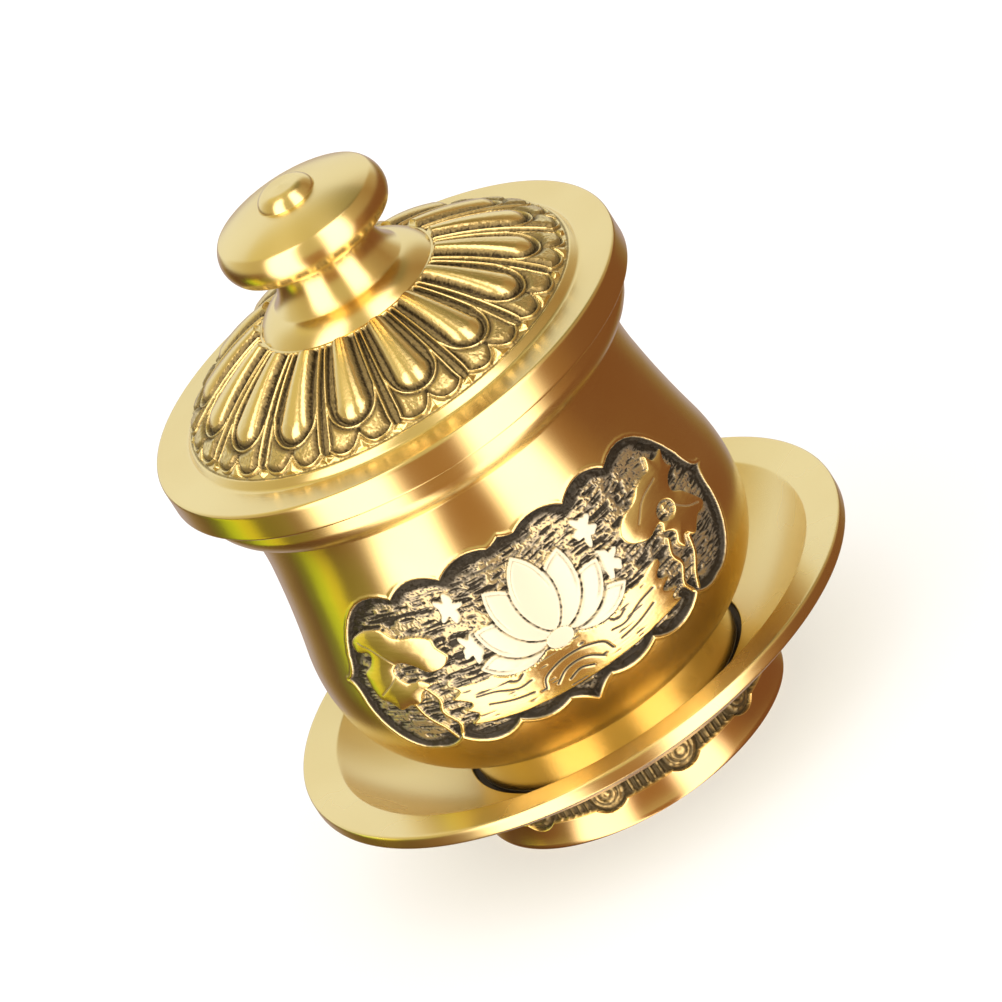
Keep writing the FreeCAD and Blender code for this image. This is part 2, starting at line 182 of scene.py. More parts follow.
def lattice_noise(x, y, seed):
    """Smooth noise from 0 to 1 over a plane, from a seeded lattice of random values."""
    size = 97
    table = np.random.RandomState(seed).rand(size, size)
    column, row = np.floor(x).astype(int), np.floor(y).astype(int)
    across, up = smooth(x - column, 0, 1), smooth(y - row, 0, 1)
    low, high = [
        table[column % size, line % size] * (1 - across) + table[(column + 1) % size, line % size] * across
        for line in (row, row + 1)]
    return low * (1 - up) + high * up


def arc_through(start, middle, end, count):
    """Points along the circle arc through three points, the first one left out."""
    a, b, c = complex(*start), complex(*middle), complex(*end)
    u, v = b - a, c - a
    centre = a + (abs(u) ** 2 * v - abs(v) ** 2 * u) / (u.conjugate() * v - u * v.conjugate())
    spoke = a - centre
    full_turn = 2 * math.pi
    to_middle, to_end = [cmath.phase((point - centre) / spoke) % full_turn for point in (b, c)]
    if to_middle > to_end:
        to_end -= full_turn
    points = centre + spoke * np.exp(1j * to_end * np.arange(1, count + 1) / count)
    return list(zip(points.real, points.imag))


def bulged_arc(start, end, bulge, count):
    """An arc that stands out of its chord by bulge, to the left of the way it runs."""
    run_r, run_z = end[0] - start[0], end[1] - start[1]
    length = math.hypot(run_r, run_z)
    middle_r = (start[0] + end[0]) / 2 - run_z / length * bulge
    middle_z = (start[1] + end[1]) / 2 + run_r / length * bulge
    return arc_through(start, (middle_r, middle_z), end, count)


def spline_through(points, per_run, closed=False):
    """A Catmull-Rom curve through the points."""
    points = np.array(points, float)
    if closed:
        padded = np.vstack([points[-1:], points, points[:2]])
    else:
        padded = np.vstack([2 * points[0] - points[1], points, 2 * points[-1] - points[-2]])
    share = np.arange(per_run)[:, None] / per_run
    pieces = []
    for a, b, c, d in zip(padded, padded[1:], padded[2:], padded[3:]):
        bend = (2 * a - 5 * b + 4 * c - d) * share ** 2 + (3 * b - a - 3 * c + d) * share ** 3
        pieces.append(0.5 * (2 * b + (c - a) * share + bend))
    if not closed:
        pieces.append(points[-1:])
    return np.vstack(pieces)


def distance_to_line(x, y, line):
    """Distance from every point to an open run of straight pieces."""
    nearest = np.full(x.shape, 1e9)
    for (ax, ay), (bx, by) in zip(line[:-1], line[1:]):
        run_x, run_y = bx - ax, by - ay
        share = np.clip(((x - ax) * run_x + (y - ay) * run_y) / (run_x ** 2 + run_y ** 2 + 1e-12), 0, 1)
        nearest = np.minimum(nearest, (x - ax - run_x * share) ** 2 + (y - ay - run_y * share) ** 2)
    return np.sqrt(nearest)


def inside_outline(x, y, outline, reach=2.0):
    """How deep every point lies inside a closed outline, negative outside, down to -reach."""
    outline = np.array(outline)
    depth = np.full(x.shape, -reach)
    low = outline.min(0) - reach
    high = outline.max(0) + reach
    near = (x > low[0]) & (x < high[0]) & (y > low[1]) & (y < high[1])
    px, py = x[near], y[near]
    ring = np.vstack([outline, outline[:1]])
    inside = np.zeros(px.shape, bool)
    for (ax, ay), (bx, by) in zip(ring[:-1], ring[1:]):
        if ay != by:
            inside ^= ((ay > py) != (by > py)) & (px < (bx - ax) * (py - ay) / (by - ay) + ax)
    edge = distance_to_line(px, py, ring)
    depth[near] = np.maximum(np.where(inside, edge, -edge), -reach)
    return depth


def from_petal_middle(bearings, count, turn):
    """Bearing from the middle of the nearest of the petals that stand evenly round an axis."""
    spacing = 360 / count
    return (bearings[None, :] - turn + spacing / 2) % spacing - spacing / 2


# ======== turned surfaces ========

CENTRE_DOT = 0.02        # a profile starts and ends this close to the axis, on a tiny flat disc


def sharp(points):
    """Profile corners that aren't rounded off."""
    return [(*point, 0) for point in points]


def rounded(corners, steps=4):
    """A profile whose corners (radius, height, rounding) are rounded off."""
    points = []
    for index, (radius, height, rounding) in enumerate(corners):
        here = np.array((radius, height), float)
        if rounding == 0 or index in (0, len(corners) - 1):
            points.append(here)
            continue
        before = np.array(corners[index - 1][:2]) - here
        after = np.array(corners[index + 1][:2]) - here
        start = here + before * min(rounding / np.linalg.norm(before), 0.45)
        end = here + after * min(rounding / np.linalg.norm(after), 0.45)
        for share in np.linspace(0, 1, steps + 1):
            points.append((1 - share) ** 2 * start + 2 * share * (1 - share) * here + share ** 2 * end)
    return np.array(points)


def subdivided(points, spacing, near_end=0.3):
    """The profile with its long runs cut up, and a short piece at each end of every long run."""
    rows = [points[0]]
    for start, end in zip(points[:-1], points[1:]):
        length = np.linalg.norm(end - start)
        shares = [1.0]
        if length > 4 * near_end:
            middle = np.linspace(near_end, length - near_end, max(int(length / spacing), 1) + 1)
            shares = list(middle / length) + [1.0]
        rows += [start + (end - start) * share for share in shares]
    return np.array(rows)


def in_steps(start, end, steps):
    """A straight run in equal steps, its end left out."""
    return [start + (end - start) * step / steps for step in range(steps)]


def profile_normals(rows, closed):
    """Outward normals of a profile that runs from the top centre out and down."""
    if closed:
        along = np.roll(rows, -1, 0) - np.roll(rows, 1, 0)
    else:
        along = np.gradient(rows, axis=0)
    along /= np.linalg.norm(along, axis=1)[:, None] + 1e-12
    return np.stack([-along[:, 1], along[:, 0]], 1)


def even_bearings(count):
    return np.arange(count) * 360 / count


def new_object(name, data):
    piece = bpy.data.objects.new(name, data)
    bpy.context.scene.collection.objects.link(piece)
    return piece


def mark(mesh, name, values):
    """Stores one value for every vertex, for the material to read."""
    layer = mesh.attributes.new(name, "FLOAT", "POINT")
    layer.data.foreach_set("value", values.astype(np.float32).ravel())


def turned_piece(name, rows, bearings, lift=0.0, patina_and_shade=0.0, closed=False):
    """A mesh swept about Z by a profile, raised along its normals by lift and marked with patina and painted
    shade.
    """
    normals = profile_normals(rows, closed)
    shape = (len(rows), len(bearings))
    lift = np.broadcast_to(lift, shape)
    angle = np.radians(bearings)[None, :]
    radius = rows[:, :1] + normals[:, :1] * lift
    height = rows[:, 1:] + normals[:, 1:] * lift
    points = np.stack([radius * np.sin(angle), -radius * np.cos(angle), height], -1) * MM
    number = np.arange(shape[0] * shape[1]).reshape(shape)
    upper = number if closed else number[:-1]
    lower = np.roll(number, -1, 0) if closed else number[1:]
    quads = np.stack([upper, lower, np.roll(lower, -1, 1), np.roll(upper, -1, 1)], -1).reshape(-1, 4)
    faces = quads.tolist()
    if not closed:
        faces.append(number[0].tolist())
        faces.append(number[-1][::-1].tolist())
    mesh = bpy.data.meshes.new(name)
    mesh.from_pydata(points.reshape(-1, 3).tolist(), [], faces)
    mark(mesh, "patina_and_shade", np.broadcast_to(patina_and_shade, shape))
    mesh.shade_smooth()
    mesh.update()
    return new_object(name, mesh)


# ======== saucer ========

def saucer_profile():
    """The well, the dish and the rim above, then the underside back to the axis."""
    well_edge = (WELL_RADIUS, WELL_FLOOR + 1.0)
    rim_inner = (SAUCER_RADIUS - RIM_WIDTH, SAUCER_TOP - RIM_FALL)
    rim_under = (SAUCER_RADIUS, SAUCER_TOP - RIM_EDGE)
    corners = [(CENTRE_DOT, WELL_FLOOR, 0), (WELL_RADIUS - 0.1, WELL_FLOOR, 0.25), (*well_edge, 0.2)]
    corners += sharp(bulged_arc(well_edge, rim_inner, -DISH_SAG, 24)[:-1])
    corners += [(*rim_inner, 0.25), (SAUCER_RADIUS, SAUCER_TOP, 0.5), (*rim_under, 0.3)]
    corners += sharp(bulged_arc(rim_under, DISH_HIP, HIP_BULGE, 16)[:-1])
    corners += [
        (*DISH_HIP, 0.4), (SEAT_EDGE, DISH_UNDERSIDE, 0.3), (SHOULDER_RADIUS, DISH_UNDERSIDE, 0.1),
        (SHOULDER_RADIUS, DISH_UNDERSIDE - 1.0, 0.2), (CENTRE_DOT, DISH_UNDERSIDE - 1.0, 0),
    ]
    return subdivided(rounded(corners), 1.5)


def saucer_gap_shade(rows):
    """Painted shade: dark in the narrow gap round the cup's foot, where shadow falls."""
    radius, height = rows[:, :1], rows[:, 1:]
    in_gap = smooth(radius, WELL_RADIUS - 3.0, WELL_RADIUS - 2.0) * (height > WELL_FLOOR - 0.1)
    return in_gap * (1 - smooth(height, WELL_FLOOR + 0.35, WELL_FLOOR + 0.8))


# ======== lotus foot ========

def foot_profile():
    """The ring's closed profile: top face, relief band, plain wall, resting face, bore."""
    wall = arc_through(FOOT_WALL_TOP, FOOT_WALL_MIDDLE, (FOOT_RADIUS, 0.5), 8)
    corners = [(FOOT_BORE, DISH_UNDERSIDE, 0.1), (SEAT_EDGE, DISH_UNDERSIDE, 0.1), (*FOOT_SHOULDER, 0.1)]
    corners += sharp([FOOT_WALL_TOP] + wall)
    corners += [(FOOT_RADIUS - 0.2, 0, 0.2), (FOOT_INNER, 0, 0.3), (FOOT_BORE, 2.6, 0.3)]
    corners.append(corners[0])
    coarse = subdivided(rounded(corners), 1.5)[:-1]
    rows = []
    for start, end in zip(coarse, np.roll(coarse, -1, 0)):
        steps = 1
        if start[0] > RELIEF_INNER and 2.8 < (start[1] + end[1]) / 2 < 7.95:
            steps = max(int(np.linalg.norm(end - start) / FOOT_CELL), 1)
        rows += in_steps(start, end, steps)
    return np.array(rows)


def foot_relief(rows, bearings):
    """Round petals and the fluted panels between them, all cut into the ring's wall."""
    radius, height = rows[:, :1], rows[:, 1:]
    across = np.radians(from_petal_middle(bearings, FOOT_PETALS, FOOT_TURN)) * RELIEF_RADIUS
    on_band = (radius > RELIEF_INNER) & (height < 8.05) & (height > 2.8)
    # round petals with an inner fold
    to_edge = PETAL_RADIUS - np.hypot(across, np.minimum(height - PETAL_CENTRE, 0) * 1.02)
    fold = ridge(to_edge - 1.45, 0.16) + ridge(np.hypot(across, height - 6.3) - 0.9, 0.16)
    petal = raised(PETAL_LEVELS, pillow(to_edge - 0.22, 1.6)) - FOLD_DEPTH * fold
    # fluted panels between the petals, with a flat lower edge
    from_middle = np.abs(np.abs(across) - math.pi / FOOT_PETALS * RELIEF_RADIUS)
    flutes = ridge(from_middle, 0.30) + ridge(from_middle - 1.25, 0.28) + ridge(from_middle - 2.5, 0.26)
    panel = raised(FLUTE_LEVELS, flutes * smooth(height, 4.4, 4.75))
    cut = np.maximum(smooth(to_edge, 0.0, 0.14), smooth(height, 4.32, 4.44))
    grain = lattice_noise(bearings[None, :] * 1.1 + 0 * height, height * 2.6 + 0 * across, 5) - 0.5
    lift = cut * (np.where(to_edge > 0.02, petal, panel) + 0.12 * grain)
    worn = np.where(to_edge > 0.1, 0.62 * pillow(to_edge - 0.45, 1.3) - 0.4 * fold, 0.55 * flutes)
    patina_and_shade = np.clip(1 - worn + 0.5 * grain, 0.15, 1) * cut
    return np.where(on_band, lift, 0), np.where(on_band, patina_and_shade, 0)


# ======== cup ========

def belly_curve(inward=0.0):
    """The belly from the neck down to the ledge, moved towards the inside of the wall."""
    points = BELLY[-1:]
    for index in range(len(BELLY) - 1, 0, -2):
        points = points + arc_through(BELLY[index], BELLY[index - 1], BELLY[index - 2], 20)
    points = np.array(points)
    return points - profile_normals(points, False) * inward


def cup_profile():
    """From the floor inside, up the wall, over the lip and down the belly to the foot."""
    inside = belly_curve(CUP_WALL)[::-1]
    inside = inside[inside[:, 1] > CUP_FLOOR + 0.6]
    outside = belly_curve()
    lip_low = (LIP_RADIUS, LIP_TOP - LIP_EDGE)
    foot_inner = CUP_FOOT_RADIUS - CUP_FOOT_WALL
    corners = [(CENTRE_DOT, CUP_FLOOR, 0), (22.2, CUP_FLOOR, 2.5)]
    corners += sharp(inside)
    corners += [
        (MOUTH_RADIUS, LID_SEAT - 5.0, 0.8), (MOUTH_RADIUS, LID_SEAT, 0.3), (SEAT_RADIUS, LID_SEAT, 0.2),
        (SEAT_RADIUS + 0.4, LIP_TOP, 0.2), (LIP_RADIUS, LIP_TOP, 0.45), (*lip_low, 0.25),
    ]
    corners += sharp(bulged_arc(lip_low, tuple(outside[0]), 0.9, 8)[:-1])
    corners += sharp(outside)
    # a fine groove runs round the foot, close under the ledge
    corners += [
        (CUP_FOOT_RADIUS, CUP_FOOT_TOP, 0.25), (CUP_FOOT_RADIUS, CUP_FOOT_TOP - 0.75, 0.1),
        (CUP_FOOT_RADIUS - 0.3, CUP_FOOT_TOP - 0.9, 0.1), (CUP_FOOT_RADIUS, CUP_FOOT_TOP - 1.05, 0.1),
        (CUP_FOOT_RADIUS, CUP_LOW[2], 0.35), (foot_inner, CUP_LOW[2], 0.3),
        (foot_inner, CUP_CEILING, 0.5), (CENTRE_DOT, CUP_CEILING, 0),
    ]
    return subdivided(rounded(corners), 1.6)


# ---- the picture panel, in degrees of bearing and millimetres of height ----
PANEL_SPAN = 67.0              # the panel's fine grid reaches this far to each side
PANEL_LOW, PANEL_HIGH = 23.0, 57.0
PANEL_CELL = 0.15
BACK_COLUMNS = 150
DEGREE = 0.583                 # length of a degree of bearing on the belly
GROUND_DEPTH = 0.95
STROKE_RISE = 0.34
MOTIF_SINK = 0.1               # how far the motifs lie below the belly
LINE_DEPTH = 0.17
FRAME_LIP = 0.09               # height of the thin lip round the frame
CARTOUCHE_TOP = (0.0, 54.5)
# the cartouche's right half, downwards: the middle and the end of each arc
CARTOUCHE_HALF = [
    [(1.8, 54.0), (4.2, 53.7)],
    [(12.0, 54.6), (19.5, 52.7)],
    [(27.5, 54.3), (35.3, 52.3)],
    [(49.8, 51.5), (58.3, 44.3)],
    [(59.9, 41.5), (63.4, 40.0)],
    [(60.2, 38.7), (59.2, 36.4)],
    [(53.5, 29.6), (45.0, 27.4)],
    [(40.5, 27.3), (36.0, 28.6)],
    [(27.5, 26.3), (19.5, 28.2)],
    [(12.0, 26.6), (6.0, 27.6)],
    [(2.6, 26.5), (0.0, 24.7)],
]
RIGHT_LEAF = [
    (26.7, 43.1), (29.6, 44.9), (35.8, 45.6), (38.9, 46.5), (42.5, 46.9), (45.9, 46.9), (48.2, 48.6),
    (50.2, 47.0), (55.2, 46.9), (53.2, 45.0), (54.5, 43.7), (50.6, 43.2), (48.4, 42.0), (51.0, 40.6),
    (53.4, 38.3), (54.5, 36.8), (52.4, 35.9), (49.2, 36.0), (45.0, 34.7), (42.2, 36.1), (40.1, 34.7),
    (38.3, 36.3), (39.7, 37.8), (37.0, 39.0), (37.9, 40.1), (33.4, 39.7), (30.0, 40.4), (27.6, 41.4),
]
LEFT_LEAF = [
    (-45.5, 48.4), (-49.2, 48.4), (-54.0, 47.3), (-55.7, 46.0), (-54.7, 44.5), (-50.8, 44.2), (-52.6, 42.6),
    (-55.4, 41.4), (-55.2, 39.4), (-53.6, 37.0), (-50.6, 36.2), (-48.0, 34.8), (-44.4, 35.4), (-40.9, 35.6),
    (-38.8, 37.2), (-35.0, 38.3), (-38.4, 39.4), (-41.8, 39.4), (-44.4, 41.0), (-42.5, 42.2), (-38.3, 41.4),
    (-34.6, 39.9), (-29.8, 40.2), (-27.2, 41.7), (-29.2, 43.5), (-29.8, 45.0), (-34.6, 46.0), (-39.5, 46.4),
    (-42.6, 47.9),
]
LEAF_VEINS = [
    [(-52.5, 46.4), (-47.5, 44.6), (-43.6, 42.6)],
    [(-51.5, 37.8), (-47.0, 39.4), (-44.0, 41.0)],
    [(33.0, 42.6), (38.4, 44.6), (45.6, 45.2)],
    [(52.0, 37.4), (48.0, 38.6), (45.0, 40.4)],
]
LEAF_DOME = 0.38
LEAF_HOLE = (42.0, 40.9)       # an oval hole through the right leaf
BEAD = (43.1, 40.9)            # and a bead that sits in it
BEAD_RADIUS = 1.0
BEAD_RISE = 0.55
POND = [
    (-31.8, 37.0), (-22.5, 36.5), (-15.2, 37.3), (-9.0, 36.9), (0.0, 36.2), (9.0, 36.9), (16.4, 37.3),
    (23.7, 36.6), (30.8, 37.4), (31.8, 36.2), (29.0, 34.9), (31.9, 33.8), (28.5, 32.7), (32.4, 31.6),
    (29.8, 30.6), (31.8, 29.4), (21.3, 29.0), (10.0, 28.7), (-10.0, 28.7), (-21.3, 29.0), (-31.6, 29.9),
    (-28.5, 31.4), (-31.4, 32.6), (-28.6, 33.5), (-33.0, 35.0), (-29.8, 36.0),
]
# rings of water in the pond's middle
POND_RINGS = [
    [(-9.6, 30.9), (-8.2, 32.6), (-4.0, 33.7), (0.0, 34.0), (4.0, 33.7), (8.2, 32.6), (9.6, 30.9)],
    [(-6.6, 30.7), (-3.4, 32.1), (0.0, 32.5), (3.4, 32.1), (6.6, 30.7)],
    [(-3.4, 30.4), (0.0, 31.1), (3.4, 30.4)],
]
# ripples and stems on the right; those on the left are their mirror image
RIPPLES = [
    [(11.5, 33.3), (15.5, 33.0), (21.0, 34.0), (26.0, 34.3)],
    [(12.5, 31.3), (18.0, 31.6), (24.0, 32.4)],
    [(12.6, 34.8), (14.4, 34.2), (16.8, 34.7)],
]
STEMS = [
    [(37.4, 37.6), (35.6, 35.6), (36.6, 33.4), (34.2, 31.0), (35.6, 28.9)],
    [(43.2, 35.4), (41.8, 33.0), (38.8, 30.6), (37.6, 28.6)],
]
STARS = [(-21.4, 48.1), (-20.4, 41.4), (20.4, 47.6), (20.6, 41.6)]
STAR_RADIUS = 1.95
EMBLEM_ROOT = 38.0
EMBLEM_CLEAR = 36.5            # the narrow gap round the emblem ends at this height
# lean from upright in degrees, length and half width, from the outer petals to the middle one
EMBLEM_PETALS = [(82, 10.6, 2.2), (56, 11.4, 2.75), (29, 12.4, 3.1), (0, 13.0, 3.3)]


def flat(points):
    """Panel points in millimetres both ways."""
    return [(bearing * DEGREE, height) for bearing, height in points]


def mirrored(points):
    return [(-bearing, height) for bearing, height in points]


def both_sides(lines):
    return lines + [mirrored(line) for line in lines]


def cartouche_outline():
    right = [CARTOUCHE_TOP]
    for middle, end in CARTOUCHE_HALF:
        right += arc_through(right[-1], middle, end, 9)
    return flat(right + mirrored(right)[-2:0:-1])


def chased(x, y, lines, half_width):
    """Drawn lines: 1 along the middle of each, and 0 a little way off."""
    depth = np.zeros(x.shape)
    for line in lines:
        distance = distance_to_line(x, y, spline_through(flat(line), 6))
        depth = np.maximum(depth, ridge(distance, half_width))
    return depth


def chased_ground(x, y, frame_inside):
    """Long strokes round the cup, silvery in the middle, with painted shade that darkens them along the
    frame.
    """
    drift = lattice_noise(x * 0.13, y * 0.20, 11) * 1.6
    stroke = 1 - np.abs(2 * lattice_noise(x * 0.30, (y + drift) * 1.7, 13) - 1)
    hatch = 1 - np.abs(2 * lattice_noise(x * 0.42, (y + drift) * 3.4, 14) - 1)
    patches = lattice_noise(x * 0.22, y * 0.45, 15)
    pits = lattice_noise(x * 4.0, y * 4.5, 17)
    # painted shade: near the frame the strokes lose their silver and the ground darkens, as in the sunken
    # ground's shadow
    middle = smooth(frame_inside + 1.2 * (patches - 0.5), 0.8, 2.3)
    ridges = np.maximum(smooth(stroke, 0.45, 0.85), 0.85 * smooth(hatch, 0.55, 0.9))
    silver = ridges * (0.25 + 0.75 * middle) + 0.30 * middle * (patches - 0.2)
    dark = 1.0 - 0.80 * np.clip(silver, 0, 1) * smooth(pits, 0.0, 0.30)
    return -GROUND_DEPTH + STROKE_RISE * ridges + 0.12 * (pits - 0.5), dark


def leaves(x, y):
    """Two large leaves: their height share, and how far they dome up beyond it."""
    top = np.zeros(x.shape)
    dome = np.zeros(x.shape)
    for outline in (RIGHT_LEAF, LEFT_LEAF):
        inside = inside_outline(x, y, spline_through(flat(outline), 5, True))
        top = np.maximum(top, smooth(inside, 0.0, 0.3) * (0.88 + 0.10 * pillow(inside, 1.8)))
        dome = np.maximum(dome, LEAF_DOME * pillow(inside, 3.2) * (inside > 0))
    from_hole = np.hypot((x - LEAF_HOLE[0] * DEGREE) / 2.0, (y - LEAF_HOLE[1]) / 1.5)
    return top * (1 - smooth(1.0 - from_hole, 0.0, 0.22)), dome


def stems(x, y):
    top = np.zeros(x.shape)
    for stem in both_sides(STEMS):
        distance = distance_to_line(x, y, spline_through(flat(stem), 6))
        top = np.maximum(top, 0.9 * smooth(0.55 - distance, 0.0, 0.3))
    return top


def stars(x, y):
    """Small uneven stars, each turned and shaped a little differently."""
    top = np.zeros(x.shape)
    for number, (bearing, level) in enumerate(STARS):
        dx, dy = x - bearing * DEGREE, y - level
        turn = np.arctan2(dy, dx)
        edge = STAR_RADIUS * (1 + 0.24 * np.cos(5 * turn + number * 1.3) + 0.13 * np.cos(8 * turn + number))
        top = np.maximum(top, smooth(edge - np.hypot(dx, dy * 0.86), 0.0, 0.3))
    return top


def emblem_petal(x, y, lean, length, half_width):
    """How deep a point lies inside a leaning, pointed petal, and how far along it."""
    root_x, root_y = lean * 0.028, EMBLEM_ROOT - abs(lean) * 0.018
    angle = math.radians(lean)
    along = (x - root_x) * math.sin(angle) + (y - root_y) * math.cos(angle)
    across = (x - root_x) * math.cos(angle) - (y - root_y) * math.sin(angle)
    radius = (length ** 2 / 4 + half_width ** 2) / (2 * half_width)
    return radius - np.hypot(along - length / 2, np.abs(across) + radius - half_width), along


def emblem(x, y):
    """A lotus flower in front view: its height share, and where its dark seams run."""
    height = np.zeros(x.shape)
    seam = np.zeros(x.shape)
    for order, (lean, length, half_width) in enumerate(EMBLEM_PETALS):
        for side in ((1, -1) if lean else (1,)):
            inside, along = emblem_petal(x, y, side * lean, length, half_width)
            cover = smooth(inside, 0.0, 0.22)
            fold = ridge(inside - 0.75, 0.11) * smooth(along, length * 0.42, length * 0.62) * cover
            height = height * (1 - cover) + (0.86 + 0.045 * order) * cover - 0.18 * fold
            rim = ridge(inside + 0.12, 0.16) * (inside < 0.15)
            seam = seam * (1 - cover) + np.maximum(0.55 * fold, rim)
            height = height - 0.35 * rim * smooth(height, 0.3, 0.7)
    seed_pod = smooth(2.3 - np.hypot(x, (y - EMBLEM_ROOT + 1.1) * 1.5), 0, 0.25)
    height = np.maximum(height * (1 - seed_pod), seed_pod)
    return np.clip(height, 0, 1), np.clip(seam * (1 - seed_pod), 0, 1)


def panel_relief(height, bearings):
    """The sunken panel: how far it lies above the belly, its patina with painted shade along the frame, and
    its satin finish.
    """
    y = height[:, None] + 0 * bearings[None, :]
    x = bearings[None, :] * DEGREE + 0 * height[:, None]
    frame_inside = inside_outline(x, y, cartouche_outline())
    ground, ground_patina_and_shade = chased_ground(x, y, frame_inside)
    # motifs that stand level with the belly: top is their height share above the ground
    top, dome = leaves(x, y)
    pond = inside_outline(x, y, spline_through(flat(POND), 5, True))
    star = stars(x, y)
    top = np.maximum.reduce([
        top, smooth(pond, 0.0, 0.3) * (0.86 + 0.10 * pillow(pond, 1.5)), stems(x, y), 0.92 * star])
    swirls = smooth(lattice_noise(x * 0.5, y * 3.2, 21), 0.80, 0.95) * (pond > 0.4)
    lines = np.maximum.reduce([
        0.3 * chased(x, y, LEAF_VEINS, 0.12), chased(x, y, POND_RINGS + both_sides(RIPPLES), 0.15),
        0.75 * swirls])
    # the emblem lies over all of them, with a narrow gap round it
    flower, flower_seam = emblem(x, y)
    around = smooth(np.maximum(flower, flower_seam), 0.02, 0.2) * (y > EMBLEM_CLEAR)
    top = np.where(flower > 0.02, flower, top * (1 - around))
    lines = np.where(flower > 0.02, flower_seam, lines)
    satin = np.maximum(star, smooth(flower, 0.5, 0.8))
    level = ground * (1 - top) + top * (dome - MOTIF_SINK) - LINE_DEPTH * lines * (top > 0.4)
    bead = BEAD_RADIUS - np.hypot(x - BEAD[0] * DEGREE, y - BEAD[1])
    bead_top = ground + BEAD_RISE * pillow(bead, BEAD_RADIUS)
    level = np.where(bead > 0, np.maximum(level, bead_top), level)
    # the belly turns up into a thin lip round the frame
    lift = smooth(frame_inside, -0.05, 0.5) * level + FRAME_LIP * ridge(frame_inside + 0.30, 0.22)
    in_frame = smooth(frame_inside, -0.02, 0.2)
    solid = smooth(top, 0.55, 0.92)
    # the ground's patina carries the painted shade along the frame
    patina_and_shade = (ground_patina_and_shade * (1 - solid) + 0.85 * lines * solid) * in_frame
    patina_and_shade = np.where(bead > 0.15, patina_and_shade * 0.5, patina_and_shade)
    return lift, np.clip(patina_and_shade, 0, 1), satin * in_frame


def cup_rows():
    """The cup's profile, with fine rows where the panel lies on its outside."""
    coarse = cup_profile()
    over_the_lip = np.argmax(coarse[:, 1] > LID_SEAT - 0.01)
    rows = []
    for index, (point, after) in enumerate(zip(coarse[:-1], coarse[1:])):
        steps = 1
        if index > over_the_lip and PANEL_LOW < (point[1] + after[1]) / 2 < PANEL_HIGH:
            steps = max(int(round(np.linalg.norm(after - point) / PANEL_CELL)), 1)
        rows += in_steps(point, after, steps)
    return np.array(rows + [coarse[-1]])


def cup_piece():
    """The cup, in fine columns across the panel and coarse ones round its back."""
    rows = cup_rows()
    radius, height = rows.T
    front = np.linspace(-PANEL_SPAN, PANEL_SPAN, int(2 * PANEL_SPAN * DEGREE / PANEL_CELL))
    back = np.linspace(PANEL_SPAN, 360 - PANEL_SPAN, BACK_COLUMNS)[1:-1]
    bearings = np.concatenate([front, back])
    lift, patina_and_shade, satin = np.zeros((3, len(rows), len(bearings)))
    # painted shade at the very bottom of the foot's outside, where it stands in the saucer's narrow gap
    foot_gap_shade = (radius > CUP_FOOT_RADIUS - 0.05) & (height > CUP_LOW[2] - 0.01) & (height < CUP_LOW[2] + 0.5)
    patina_and_shade[foot_gap_shade] = 0.9
    on_outside = np.arange(len(rows)) > np.argmax(radius > LIP_RADIUS - 0.05)
    on_panel = np.nonzero(on_outside & (height > PANEL_LOW) & (height < PANEL_HIGH))[0]
    for whole, part in zip((lift, patina_and_shade, satin), panel_relief(height[on_panel], front)):
        whole[on_panel, :len(front)] = part
    piece = turned_piece("cup_surface", rows, bearings, lift, patina_and_shade)
    mark(piece.data, "satin", satin)
    return piece


# ======== lid ========

def lid_profile():
    """Top of the crown, dome, step and flange, then up inside the hollow and back to the hole."""
    spigot_inner = SPIGOT_RADIUS - SPIGOT_WALL
    ceiling = CROWN_TOP - LID_WALL
    hollow_crown = (DOME_CROWN[0] - 1.0, ceiling)
    corners = [(LID_HOLE, CROWN_TOP, 0.1), (DOME_CROWN[0] - 0.35, CROWN_TOP, 0.2)]
    corners += sharp([DOME_CROWN] + bulged_arc(DOME_CROWN, DOME_FOOT, DOME_BULGE, 20))
    corners += [
        (STEP_RADIUS, FLANGE_TOP + 0.15, 0.25), (STEP_RADIUS + 0.5, FLANGE_TOP, 0.15),
        (FLANGE_RADIUS, FLANGE_TOP, 0.55), (FLANGE_RADIUS, LID_SEAT, 0.45),
        (SPIGOT_RADIUS, LID_SEAT, 0.1), (SPIGOT_RADIUS, SPIGOT_END, 0.35), (spigot_inner, SPIGOT_END, 0.35),
        (spigot_inner, FLANGE_TOP - 1.6, 0.5), (*HOLLOW_FOOT, 0.5),
    ]
    corners += sharp(bulged_arc(HOLLOW_FOOT, hollow_crown, -HOLLOW_BULGE, 10)[:-1])
    corners += [(*hollow_crown, 0.5), (LID_HOLE, ceiling, 0.1), (LID_HOLE, CROWN_TOP, 0.1)]
    return subdivided(rounded(corners), 1.5)[:-1]


# the petals' plan, in arc length up from the dome's foot and in bearing from a petal's middle
LOBE_END = 8.0                 # middle of a lobe's round end
LOBE_RADIUS = 2.85
LOBE_TOP_RADIUS = 1.4
CUP_END = 8.2                  # the same for the rim that runs round the lobe
CUP_RADIUS = 3.75
RIB_BEARING = 9.5
PETAL_SPAN = 20.4
PETAL_START = 0.3
PEBBLE_LOW = 1.15              # the pebbles' lower ends
# lowest level above the dome, and full rise from there
LOBE_LEVELS = (-0.85, 1.80)
PEBBLE_LEVELS = (-0.62, 1.25)
RIB_LEVELS = (-0.85, 1.15)
RIM_LEVELS = (-0.65, 0.95)
SCALLOP_LEVELS = (-0.60, 0.92)
FACET_LEVEL = -0.50            # the foot of the faceted bosses and studs
CHANNEL_DEPTH = 0.45


